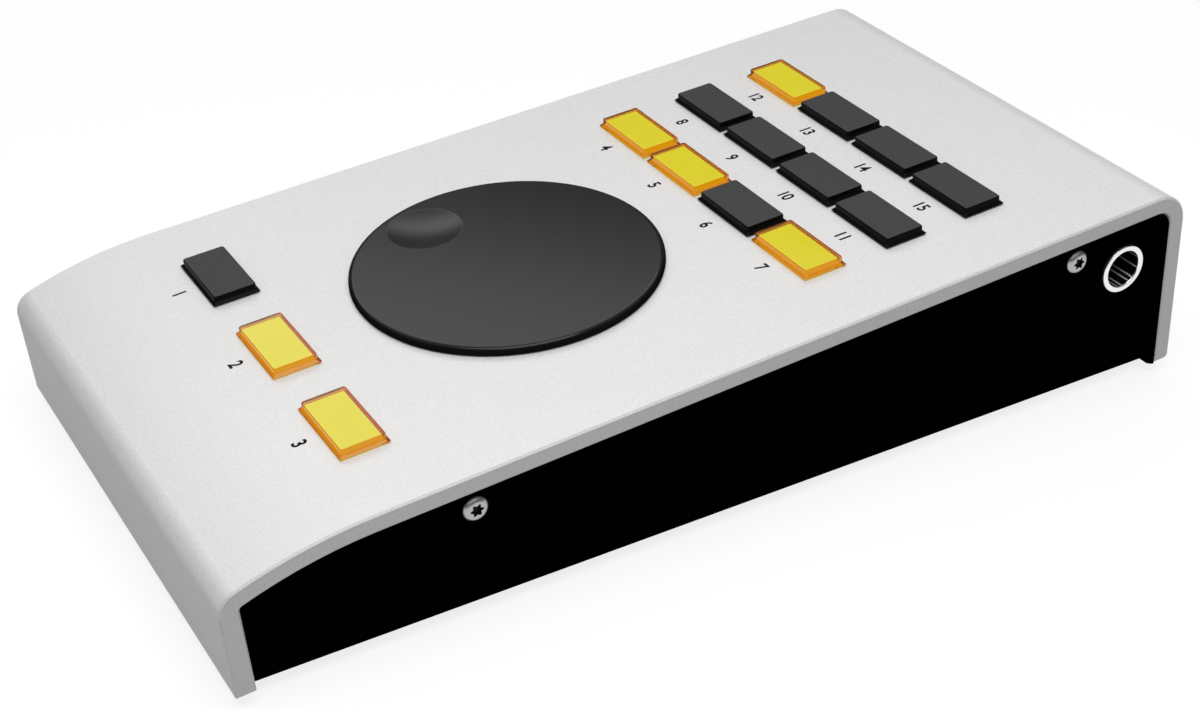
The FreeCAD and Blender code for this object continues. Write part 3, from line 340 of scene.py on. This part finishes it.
finish = Finish("unlit_yellow_coat", Specular_IOR_Level=0.0)
milk = finish.grain(1.2)
UNLIT = finish.paint(Base_Color=finish.between(milk, (0.50, 0.30, 0.18), (0.64, 0.40, 0.26)),
                     Roughness=0.6 + 0.1 * milk)
print("made", GLOW.name, FOOT_GLOW.name, UNLIT.name)

# %% [markdown]
# Small metal parts differ mostly in how smooth they are. Steel keeps fine tool marks, plated parts
# are bright, and zinc is grey and blotchy. One helper makes them all from two colours, a roughness
# and the size of their marks, which keeps them a family.


# %% Small metal parts
def metal(name, dark, light, rough, spread, mark_mm, depth_mm=0.004):
    """Bare or plated metal with fine marks and a haze twelve times their size."""
    made = Finish(name, Metallic=1.0)
    marks, haze = made.grain(mark_mm, 3.0), made.grain(mark_mm * 12)
    made.bump(marks, depth_mm, 0.25)
    return made.paint(Base_Color=made.between(0.5 * marks + 0.5 * haze, dark, light),
                      Roughness=rough + spread * haze)


STEEL = metal("plain_steel", (0.36, 0.36, 0.365), (0.50, 0.50, 0.505), 0.26, 0.12, 0.12)
# A near-black steel that paints shade into the screw recesses and the jack's bore.
PAINTED_SHADE_STEEL = metal("steel_with_painted_shade", (0.008, 0.008, 0.008), (0.02, 0.02, 0.02), 0.5, 0.1, 0.12)
CHROME = metal("bright_chrome", (0.80, 0.80, 0.81), (0.88, 0.88, 0.89), 0.06, 0.05, 0.3, 0.001)
NICKEL = metal("nickel_plate", (0.60, 0.59, 0.56), (0.70, 0.69, 0.66), 0.20, 0.10, 0.2)
ZINC = metal("zinc_plate", (0.50, 0.51, 0.50), (0.64, 0.64, 0.62), 0.34, 0.16, 0.3)
BRASS = metal("plated_contact", (0.62, 0.45, 0.20), (0.74, 0.56, 0.27), 0.22, 0.10, 0.2)
print("made six metals")

# %% [markdown]
# The plain plastics, the rubber and the ink are made the same way, without the metal. Their marks
# are the texture of a mould, or of a screen in the case of the ink.


# %% Plastics, rubber and ink
def plastic(name, dark, light, rough, mark_mm, depth_mm=0.01, shine=0.4):
    """Moulded plastic, rubber or ink with an even texture."""
    made = Finish(name, Specular_IOR_Level=shine)
    marks = made.grain(mark_mm)
    made.bump(marks, depth_mm, 0.3)
    return made.paint(Base_Color=made.between(marks, dark, light), Roughness=rough + 0.1 * marks)


RUBBER = plastic("foot_rubber", (0.012, 0.012, 0.012), (0.022, 0.022, 0.022), 0.8, 0.25, 0.03, 0.2)
BLACK_PLASTIC = plastic("moulded_black", (0.012, 0.012, 0.013), (0.02, 0.02, 0.021), 0.45, 0.15)
CARRIER = plastic("carrier_grey", (0.03, 0.03, 0.03), (0.045, 0.045, 0.045), 0.45, 0.15)
WHITE_PLASTIC = plastic("moulded_white", (0.66, 0.66, 0.63), (0.74, 0.74, 0.71), 0.4, 0.2)
RESIN = plastic("lamp_resin", (0.72, 0.60, 0.34), (0.80, 0.68, 0.40), 0.15, 0.4, 0.002)
# A grey that draws bright strips down the jack's bore, as painted highlights.
BORE_PAINTED_HIGHLIGHT = plastic("painted_bore_highlight", (0.50, 0.50, 0.50), (0.66, 0.66, 0.66), 0.3, 0.2, 0.004)
INK = plastic("printed_black", (0.002, 0.002, 0.002), (0.006, 0.006, 0.006), 0.5, 0.08, 0.003, 0.1)
print("made seven plain finishes")

# %% [markdown]
# The boards inside have a green skin, with the copper tracks beneath it as slightly lighter lines.
# Real tracks could be drawn one by one. The borders of a cell pattern give them well enough for a
# part that only shows when the cover is off.

# %% Board
CELLS_PER_METRE, TRACK_EDGE = 260.0, (0.05, 0.09)

finish = Finish("green_board", Specular_IOR_Level=0.5)
cells = finish.node("ShaderNodeTexVoronoi", {"feature": "DISTANCE_TO_EDGE"},
                    {"Vector": finish.place, "Scale": CELLS_PER_METRE}, "Distance")
tracks = 1.0 - finish.sharper(cells, *TRACK_EDGE)
finish.bump(tracks, 0.03, 0.5)
BOARD = finish.paint(Base_Color=finish.between(tracks, (0.012, 0.075, 0.03), (0.03, 0.15, 0.06)),
                     Roughness=0.3 + 0.1 * finish.grain(1.0))
print("made", BOARD.name)

# %% [markdown]
# Every node of the solid model names a material slot in its record. A table from slot to finish
# dresses them all in one loop, those inside the case as well. The cover, the tray and everything
# inside them keep the solid model's own shape, because it is already right.

# %% Dress the solid nodes
FINISH_OF = {
    "cover": ALUMINIUM, "tray": POWDER_COAT, "rubber": RUBBER, "screw": STEEL, "bare_metal": ZINC,
    "board": BOARD, "black_plastic": BLACK_PLASTIC, "white_plastic": WHITE_PLASTIC, "lamp": RESIN,
    "chrome": CHROME, "contact": BRASS, "inlet_metal": NICKEL, "dial": LACQUER,
    "key_black": SATIN_BLACK, "key_amber": AMBER_WALL, "carrier": CARRIER, "glow": GLOW,
}
slot_of = {part["node"]: part["material_slot"] for part in frame["record"]["subparts"]}
LIT = {name.removeprefix("keycap_") for name, slot in slot_of.items() if slot == "key_amber"}
for name, node in frame["nodes"].items():
    if not node.material_slots:
        node.data.materials.append(FINISH_OF[slot_of[name]])
    for held in node.material_slots:
        held.material = FINISH_OF[slot_of[name]]
print("dressed", len(frame["nodes"]), "nodes, lit keys", sorted(LIT))

# %% [markdown]
# Turned and moulded parts are built as a stack of rings, each with the same number of points, and
# faces between each ring and the next. A bevel modifier would be quicker to set up, but rings give
# full control over rolled edges: more of them where the surface turns, and one close ring on the
# flat beside it, so that the flat shades flat. The band between two rings is also easy to find
# again, so part of a piece can take a finish of its own.

# %% Build a piece from rings
SHARP_TURN = math.radians(32)


def loft(name, rings, finish_here, body, tube=False):
    """A closed mesh through equal rings: flat ends, or a tube whose last ring joins the first."""
    mesh = bpy.data.meshes.new(name)
    work = bmesh.new()
    lines = [[work.verts.new(point) for point in ring] for ring in rings]
    count = len(rings[0])
    for low, high in zip(lines, lines[1:] + lines[:1] if tube else lines[1:]):
        for i in range(count):
            j = (i + 1) % count
            work.faces.new((low[i], low[j], high[j], high[i]))
    if not tube:
        work.faces.new(list(reversed(lines[0])))
        work.faces.new(lines[-1])
    bmesh.ops.recalc_face_normals(work, faces=work.faces)
    work.to_mesh(mesh)
    work.free()
    for face in mesh.polygons:
        face.use_smooth = True
    mesh.set_sharp_from_angle(angle=SHARP_TURN)
    mesh.materials.append(finish_here)
    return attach(put_in_scene(name, mesh), body)


def repaint(piece, count, finish_here, chosen):
    """Give another finish to the faces that chosen(band, place in the ring) picks."""
    piece.data.materials.append(finish_here)
    for face in piece.data.polygons:
        if chosen(face.index // count, face.index % count):
            face.material_index = len(piece.data.materials) - 1


def corner_arc(steps, radius, start, turn):
    """Offsets (along, up) of a rounded corner, from start through turn degrees."""
    angles = [math.radians(start + turn * k / steps) for k in range(steps + 1)]
    return [(radius * math.cos(a), radius * math.sin(a)) for a in angles]


print("ring tools ready")

# %% [markdown]
# The dial is a flat disc with a finger dimple near its edge. The dimple is a shallow piece of a
# sphere with a rolled rim. Cutting it out with a second solid would leave ragged shading, so the
# rings themselves do the work: they begin round the dimple's middle, drift across the face, and end
# round the dial's middle, and every ring outside the dimple lies flat in the face.

# %% Dial's sizes and rings
DIAL_RADIUS, DIAL_FACE, DIAL_FOOT = 25.0, 1.4, 0.15
RIM_ROUND, FOOT_CHAMFER, FLAT_LIP = 0.8, 0.1, 0.05
DIMPLE_OUT, DIMPLE_TURN, DIMPLE_RADIUS, DIMPLE_DEPTH = 17.4, math.radians(201.6), 6.15, 0.85
ROLL = 0.6
HUB_RADIUS, HUB_END, BORE_RADIUS, BORE_END = 6.0, -3.6, 3.02, -0.3
DIAL_POINTS, BOWL_STEPS, ROLL_STEPS, FACE_STEPS, RIM_STEPS = 180, 24, 8, 12, 12

dimple_x = DIMPLE_OUT * math.cos(DIMPLE_TURN)
dimple_u = DIMPLE_OUT * math.sin(DIMPLE_TURN)
sphere = (DIMPLE_RADIUS ** 2 + DIMPLE_DEPTH ** 2) / (2 * DIMPLE_DEPTH)
lean = math.asin(DIMPLE_RADIUS / sphere)
roll_reach = ROLL * math.tan(lean / 2)


def dial_ring(x, u, radius, w):
    """A ring at height w, its middle x and u millimetres from the dial's middle."""
    return [deck(x + radius * math.cos(2 * math.pi * k / DIAL_POINTS),
                 DIAL_PLACE + u + radius * math.sin(2 * math.pi * k / DIAL_POINTS), w)
            for k in range(DIAL_POINTS)]


print("dimple's sphere", round(sphere, 2), "mm, leaning", round(math.degrees(lean), 1), "degrees")

# %% [markdown]
# Now the rings follow one another: the bowl, the roll at its edge, the flat face, the rolled rim,
# and then the underside with the hub and its bore for the shaft.

# %% Dial with a finger dimple
rings = []
bowl_edge = DIMPLE_RADIUS - roll_reach * math.cos(lean)
for k in range(1, BOWL_STEPS + 1):
    reach = bowl_edge * k / BOWL_STEPS
    rings.append(dial_ring(dimple_x, dimple_u, reach,
                           DIAL_FACE - DIMPLE_DEPTH + sphere - math.sqrt(sphere ** 2 - reach ** 2)))
for k in range(1, ROLL_STEPS + 1):
    angle = lean * (1 - k / ROLL_STEPS)
    rings.append(dial_ring(dimple_x, dimple_u, DIMPLE_RADIUS + roll_reach - ROLL * math.sin(angle),
                           DIAL_FACE - ROLL * (1 - math.cos(angle))))
face_edge = DIAL_RADIUS - RIM_ROUND
start = DIMPLE_RADIUS + roll_reach + FLAT_LIP
for k in range(FACE_STEPS + 1):
    share = k / FACE_STEPS
    rings.append(dial_ring(dimple_x * (1 - share), dimple_u * (1 - share),
                           start + (face_edge - FLAT_LIP - start) * share, DIAL_FACE))
for along, up in corner_arc(RIM_STEPS, RIM_ROUND, 90, -90):
    rings.append(dial_ring(0, 0, face_edge + along, DIAL_FACE - RIM_ROUND + up))
for radius, w in ((DIAL_RADIUS, DIAL_FOOT + FOOT_CHAMFER), (DIAL_RADIUS - FOOT_CHAMFER, DIAL_FOOT),
                  (HUB_RADIUS, DIAL_FOOT), (HUB_RADIUS, HUB_END), (BORE_RADIUS, HUB_END),
                  (BORE_RADIUS, BORE_END)):
    rings.append(dial_ring(0, 0, radius, w))

dial = loft("dial_with_dimple", rings, LACQUER, "dial")
bowl_bands, ends = BOWL_STEPS + ROLL_STEPS - 1, len(rings) - 1
repaint(dial, DIAL_POINTS, BOWL_LACQUER,
        lambda band, k: band < bowl_bands or (band, k) == (ends, 0))
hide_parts("dial_knob")
print("dial faces", len(dial.data.polygons))

# %% [markdown]
# The keys stand in rows: three in front of the dial, and four in each of three rows behind it.
# Their places come from the rows and two spacings, so no key is placed by hand.

# %% Where the keys stand
FRONT_ROW, REAR_ROWS = 28.4, (106.5, 122.0, 137.5)
FRONT_PITCH, REAR_PITCH = 23.7, 15.8
KEY_PLACES = {f"f{i + 1}": ((i - 1) * FRONT_PITCH, FRONT_ROW) for i in range(3)}
for letter, row in zip("abc", REAR_ROWS):
    KEY_PLACES.update({f"{letter}{i + 1}": ((i - 1.5) * REAR_PITCH, row) for i in range(4)})
print("keys", len(KEY_PLACES))

# %% [markdown]
# A key cap is a hollow box with a sloping skirt at its foot. Its upright edges are rounded by half
# a millimetre and its top edges by a fifth, which is what catches the light. A cube with a bevel
# would give the outside alone. The rings run on into the hollow, so the cap has a true wall, and
# clear plastic needs one to bend light as it should.

# %% Key cap from rings
CAP_WIDE, CAP_DEEP, CAP_TOP = 14.0, 7.05, 1.6
SKIRT_FOOT, SKIRT_HIGH, SKIRT_REACH, FOOT_EDGE = 0.3, 0.4, 0.4, 0.14
HOLLOW_ROUND, EDGE_ROUND, FOOT_ROUND, UPRIGHT_ROUND = 0.12, 0.16, 0.2, 0.5
TOP_ROUND, TOP_LIP = 0.2, 0.03
CORNER_STEPS, TOP_STEPS = 6, 5
CAP_POINTS = 4 * (CORNER_STEPS + 1)


def key_ring(place, wide, deep, w, round_mm):
    """A rounded rectangle about a key's middle, at height w."""
    x, u = place
    points = []
    for side_x, side_u, begin in ((1, 1, 0), (-1, 1, 90), (-1, -1, 180), (1, -1, 270)):
        for along, up in corner_arc(CORNER_STEPS, round_mm, begin, 90):
            points.append(deck(x + side_x * (wide / 2 - round_mm) + along,
                               u + side_u * (deep / 2 - round_mm) + up, w))
    return points


def key_cap(name, place, finish_here, wall, ceiling):
    """A cap from the hollow's ceiling, down, round the skirt and up to the top face."""

    def ring(grow, w, round_mm):
        return key_ring(place, CAP_WIDE + 2 * grow, CAP_DEEP + 2 * grow, w, round_mm)

    rings = [ring(-wall, ceiling, HOLLOW_ROUND), ring(-wall, SKIRT_FOOT, HOLLOW_ROUND),
             ring(SKIRT_REACH - FOOT_EDGE, SKIRT_FOOT, EDGE_ROUND),
             ring(SKIRT_REACH, SKIRT_FOOT, FOOT_ROUND),
             ring(0, SKIRT_FOOT + SKIRT_HIGH, UPRIGHT_ROUND)]
    for along, up in corner_arc(TOP_STEPS, TOP_ROUND, 0, 90):
        inset = TOP_ROUND - along
        rings.append(ring(-inset, CAP_TOP - TOP_ROUND + up, UPRIGHT_ROUND - inset))
    inset = TOP_ROUND + TOP_LIP
    rings.append(ring(-inset, CAP_TOP, UPRIGHT_ROUND - inset))
    return loft(f"cap_{name}", rings, finish_here, f"key_{name}")


print("a ring of a cap has", CAP_POINTS, "points")

# %% [markdown]
# The black caps are thin shells. The clear ones are thick, so their hollow is low, and the inside
# of that hollow carries the yellow coat. A thin plate that leads the light lies right under it.
# The coats are picked by band and by place in the ring, which runs on from the right-hand side
# past the rear: the rear and left walls are the shaded ones, the front and right the bright ones.

# %% Key caps
SHELL_WALL, SHELL_CEILING = 0.8, 1.35
THICK_WALL, THICK_CEILING = 0.46, 0.62
PLATE_WIDE, PLATE_DEEP, PLATE_FOOT, PLATE_TOP, PLATE_ROUND = 12.3, 5.35, 0.602, 0.616, 0.1
SHADED, BRIGHT = range(3, 17), range(20, 28)
INNER_BAND, FOOT_BAND, PALE_BAND = 0, 1, 4 + TOP_STEPS

for name, place in KEY_PLACES.items():
    if name in LIT:
        cap = key_cap(name, place, AMBER_WALL, THICK_WALL, THICK_CEILING)
        ends = len(cap.data.polygons) // CAP_POINTS
        repaint(cap, CAP_POINTS, AMBER_TOP,
                lambda band, k: PALE_BAND <= band < ends or (band, k) == (ends, 1))
        repaint(cap, CAP_POINTS, GLOW,
                lambda band, k: band == INNER_BAND or (band, k) == (ends, 0))
        repaint(cap, CAP_POINTS, FOOT_GLOW, lambda band, k: band == FOOT_BAND and k in BRIGHT)
        repaint(cap, CAP_POINTS, UNLIT, lambda band, k: band == INNER_BAND and k in SHADED)
        plate = loft(f"plate_{name}",
                     [key_ring(place, PLATE_WIDE, PLATE_DEEP, w, PLATE_ROUND)
                      for w in (PLATE_FOOT, PLATE_TOP)], GLOW, f"key_{name}")
        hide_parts(f"glow_insert_{name}")
    else:
        cap = key_cap(name, place, SATIN_BLACK, SHELL_WALL, SHELL_CEILING)
    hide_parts(f"keycap_{name}")
print("caps", len(KEY_PLACES), "lit", len(LIT))

# %% [markdown]
# The side screws have a low domed head with a six-lobed recess. A recess could be cut out with a
# star-shaped solid. Here it is a wave on the radius of its rings, six lobes and six waists, and
# outside it the rings are round and fall away in a flat dome. The recess floor is painted near
# black, as painted shade where the deep recess gets little light.

# %% Side screws
SCREW_PLACES = {"front": 38.7, "rear": 147.0}
SCREW_DROP, TRAY_SIDE = -7.0, 42.7
HEAD_RADIUS, HEAD_HEIGHT, DOME_START, RIM_HEIGHT, DOME_TURN = 2.0, 0.7, 1.08, 0.08, 62.0
LOBES, LOBE, WAIST, RECESS_DEEP, RECESS_EDGE = 6, 1.04, 0.68, 0.5, 0.05
SHANK_RADIUS, SHANK_LONG, SHANK_CONE = 1.2, 5.0, 0.3
SCREW_POINTS, DOME_STEPS = 72, 10


def side_ring(side, u, drop, radius, out, count, wave=0.0):
    """A ring about an axis through the tray's side, out millimetres from it."""
    points = []
    for k in range(count):
        angle = 2 * math.pi * k / count
        reach = radius + wave * math.cos(LOBES * angle)
        points.append(deck(side * (TRAY_SIDE + out), u + reach * math.cos(angle),
                           drop + reach * math.sin(angle)))
    return points


def side_screw(name, side, u):
    """One screw, from the floor of its recess, over the head and down the shank to its tip."""

    def ring(radius, out, wave=0.0):
        return side_ring(side, u, SCREW_DROP, radius, out, SCREW_POINTS, wave)

    mean, wave = (LOBE + WAIST) / 2, (LOBE - WAIST) / 2
    rings = [ring(mean, HEAD_HEIGHT - RECESS_DEEP, wave),
             ring(mean, HEAD_HEIGHT - RECESS_EDGE, wave),
             ring(mean + RECESS_EDGE, HEAD_HEIGHT, wave)]
    lowest = math.cos(math.radians(DOME_TURN))
    farthest = math.sin(math.radians(DOME_TURN))
    for along, up in corner_arc(DOME_STEPS, 1.0, 90, -DOME_TURN):
        rings.append(ring(DOME_START + (HEAD_RADIUS - DOME_START) * along / farthest,
                          RIM_HEIGHT + (HEAD_HEIGHT - RIM_HEIGHT) * (up - lowest) / (1 - lowest)))
    rings += [ring(HEAD_RADIUS, 0), ring(SHANK_RADIUS, 0),
              ring(SHANK_RADIUS, SHANK_CONE - SHANK_LONG),
              ring(SHANK_RADIUS - SHANK_CONE, -SHANK_LONG)]
    made = loft(name, rings, STEEL, "housing")
    ends = len(rings) - 1
    # The recess floor is painted near black, as painted shade in the deep recess.
    repaint(made, SCREW_POINTS, PAINTED_SHADE_STEEL, lambda band, k: band == 0 or (band, k) == (ends, 0))
    return made


for end, u in SCREW_PLACES.items():
    for hand, side in (("right", 1), ("left", -1)):
        screw = side_screw(f"screw_{end}_{hand}", side, u)
        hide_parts("side_screws")
print("screws", 2 * len(SCREW_PLACES))

# %% [markdown]
# The ring of the headphone jack is turned brass with a bright plating. Its bore is painted
# near black as painted shade, with narrow grey strips along it as painted highlights. Its outer
# wall stands a little proud of the tray and is painted dark grey, as a painted shade line round
# the ring. It is a tube, so its last ring joins the first and it has no end faces.

# %% Headphone jack's ring
JACK_PLACE, JACK_DROP = 157.1, -12.0
RING_OUT, RING_BORE, RING_PROUD, RING_DEEP, MOUTH_ROUND, LIP = 4.2, 3.2, 0.4, 6.6, 0.25, 0.15
STRIPS = (20, -17, -50, -66, -93, -109)
JACK_POINTS, MOUTH_STEPS, LIP_STEPS = 144, 5, 4


def jack_ring(radius, out):
    """A ring about the jack's axis, out millimetres from the tray's side."""
    return side_ring(1, JACK_PLACE, JACK_DROP, radius, out, JACK_POINTS)


rings = [jack_ring(RING_BORE, -RING_DEEP)]
for along, up in corner_arc(MOUTH_STEPS, MOUTH_ROUND, 180, -90):
    rings.append(jack_ring(RING_BORE + MOUTH_ROUND + along, RING_PROUD - MOUTH_ROUND + up))
for along, up in corner_arc(LIP_STEPS, LIP, 90, -90):
    rings.append(jack_ring(RING_OUT - LIP + along, RING_PROUD - LIP + up))
rings.append(jack_ring(RING_OUT, -RING_DEEP))
outer_band = len(rings) - 2
strips = {round(angle * JACK_POINTS / 360 + shift) % JACK_POINTS
          for angle in STRIPS for shift in (0, 1)}
jack = loft("jack_ring", rings, CHROME, "housing", tube=True)
# The bore is painted near black as painted shade, with grey strips as painted highlights.
repaint(jack, JACK_POINTS, PAINTED_SHADE_STEEL, lambda band, k: band == 0 and k not in strips)
repaint(jack, JACK_POINTS, BORE_PAINTED_HIGHLIGHT, lambda band, k: band == 0 and k in strips)
# The proud outer wall is painted dark grey, as a painted shade line round the ring.
repaint(jack, JACK_POINTS, CARRIER, lambda band, k: band == outer_band)
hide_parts("jack_ferrule")
print("jack ring faces", len(jack.data.polygons))

# %% [markdown]
# Each key has a plain number printed in front of it, in black ink. Letters are curves in Blender,
# so they are set in type, turned into a mesh and laid on the metal a hundredth of a millimetre
# proud. The front row's numbers lie where the cover begins to fall, so each point is let down with
# it. The type is thickened a little, as a printing screen does. Too much would close its loops.

# %% Printed numbers
CROWN_RADIUS, CROWN_LONG = 69.0, 23.4
FIGURE_HIGH, FIGURE_NARROW, FIGURE_PLACE = 2.2, 0.86, -7.05
CAPITAL_SHARE, LETTER_SPACING = 0.70, 0.95
INK_THICK, INK_SPREAD = 0.012, 0.08


def cover_level(u):
    """How high the cover's outer face lies at u, against the flat of the top."""
    short = max(0.0, CROWN_LONG - u)
    return math.sqrt(CROWN_RADIUS ** 2 - short ** 2) - CROWN_RADIUS


def printed(text, x, u):
    """A number in ink whose middle is at x and u on the cover."""
    curve = bpy.data.curves.new(f"type_{text}", "FONT")
    curve.body, curve.align_x, curve.align_y = text, "CENTER", "CENTER"
    curve.size, curve.space_character = FIGURE_HIGH / CAPITAL_SHARE, LETTER_SPACING
    curve.extrude, curve.offset = INK_THICK / 2, INK_SPREAD
    setting = put_in_scene(f"type_{text}", curve)
    bpy.context.view_layer.update()
    mesh = bpy.data.meshes.new_from_object(
        setting.evaluated_get(bpy.context.evaluated_depsgraph_get()))
    for point in mesh.vertices:
        here = u + point.co.y
        point.co = deck(x + FIGURE_NARROW * point.co.x, here,
                        cover_level(here) + INK_THICK / 2 + point.co.z)
    bpy.data.objects.remove(setting)
    mesh.materials.clear()
    mesh.materials.append(INK)
    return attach(put_in_scene(f"number_{text}", mesh), "housing")


for number, (x, u) in enumerate(KEY_PLACES.values(), start=1):
    printed(str(number), x, u + FIGURE_PLACE)
print("printed", len(KEY_PLACES), "numbers")

# %% [markdown]
# The floor is plain and pale. To the camera, and in mirrors and clear plastic, it adds a light of
# its own, so that it comes out white, while the object's shadow stays in the light that the floor
# reflects. Its own light reaches nothing else, so the object's underside isn't lit by it. Stronger
# lamps would whiten the floor too, but they would bleach the object with it.

# %% Floor
FLOOR_REACH, FLOOR_CELLS, FLOOR_GREY, FLOOR_LIFT = 4.0, 8, 0.22, 0.82

mesh = bpy.data.meshes.new("floor")
work = bmesh.new()
bmesh.ops.create_grid(work, x_segments=FLOOR_CELLS, y_segments=FLOOR_CELLS, size=FLOOR_REACH)
work.to_mesh(mesh)
work.free()
floor = put_in_scene("floor", mesh)

finish = Finish("pale_floor", Base_Color=(FLOOR_GREY, FLOOR_GREY, FLOOR_GREY), Roughness=0.9,
                Specular_IOR_Level=0.0)
seen = finish.node("ShaderNodeLightPath", {}, {}, "Is Camera Ray")
for kind in ("Is Glossy Ray", "Is Transmission Ray"):
    seen = seen.maths("MAXIMUM", seen, finish.node("ShaderNodeLightPath", {}, {}, kind))
plain = Wire(finish, finish.shader.outputs[0])
lift = finish.node("ShaderNodeEmission", {}, {"Color": (1, 1, 1), "Strength": FLOOR_LIFT})
both = finish.node("ShaderNodeAddShader", {}, [plain, lift])
shown = finish.node("ShaderNodeMixShader", {}, [seen, plain, both])
end_node = next(n for n in finish.tree.nodes if n.type == "OUTPUT_MATERIAL")
finish.set(end_node, {"Surface": shown})
mesh.materials.append(finish.material)
print("floor", round(floor.dimensions.x, 1), "m")

# %% [markdown]
# A square panel hangs low over the front of the object. Being near, it lights the front end more
# than the rear end, so the pale top isn't one flat tone.

# %% Panel over the front
PANEL_SIDE, PANEL_POWER, PANEL_PLACE = 0.30, 0.9, (0.12, -0.07, 0.39)

lamp = bpy.data.lights.new("front_panel", "AREA")
lamp.shape, lamp.size, lamp.energy = "SQUARE", PANEL_SIDE, PANEL_POWER
put_in_scene("front_panel", lamp).location = PANEL_PLACE
print("panel", PANEL_POWER, "W")

# %% [markdown]
# The studio is a white tent with a dark skirt round its foot, and one wide soft box that hangs
# behind the object on the left. The tent lights from above with no hard shadow. The soft box draws
# the fade across the dial and a soft shadow in front of each key. The dark skirt is what keeps
# black plastic black from the side, and its edge stands a little higher at the back. All of it is
# one pattern in the world's background, which renders with less noise than a tent built round the
# object.

# %% Surroundings
TENT_LIGHT, SKIRT_LIGHT, BOX_LIGHT = 0.55, 0.14, 1.4
SKIRT_EDGE, REAR_RISE, RISE_SPAN = (0.405, 0.485), 0.32, (0.1, 0.5)
BOX_WAY, BOX_EDGE = (-0.906, 0.423, 0.0), (0.5, 0.72)

world = bpy.data.worlds.new("studio")
bpy.context.scene.world = world
world.use_nodes = True
sky = Sheet(world.node_tree, "ShaderNodeBackground")
direction = sky.node("ShaderNodeTexCoord", {}, {}, "Generated")
height = sky.node("ShaderNodeSeparateXYZ", {}, [direction], "Z")
rear = sky.node("ShaderNodeSeparateXYZ", {}, [direction], "Y")
rear = rear.maths("MINIMUM", rear.maths("MAXIMUM", rear, RISE_SPAN[0]), RISE_SPAN[1])
tent = sky.sharper(height - REAR_RISE * rear, *SKIRT_EDGE)
toward_box = sky.node("ShaderNodeVectorMath", {"operation": "DOT_PRODUCT"},
                      [direction, BOX_WAY], "Value")
box = tent * sky.sharper(toward_box, *BOX_EDGE)
sky.set(sky.shader, {"Color": (1, 1, 1), "Strength": SKIRT_LIGHT + (TENT_LIGHT - SKIRT_LIGHT) * tent
                     + BOX_LIGHT * box})
print("tent", TENT_LIGHT, "skirt", SKIRT_LIGHT, "box", BOX_LIGHT)

# %% [markdown]
# Colours are shown as they are, with no film look laid over them.

# %% Finish
bpy.context.scene.view_settings.view_transform = "Standard"
bpy.context.view_layer.update()
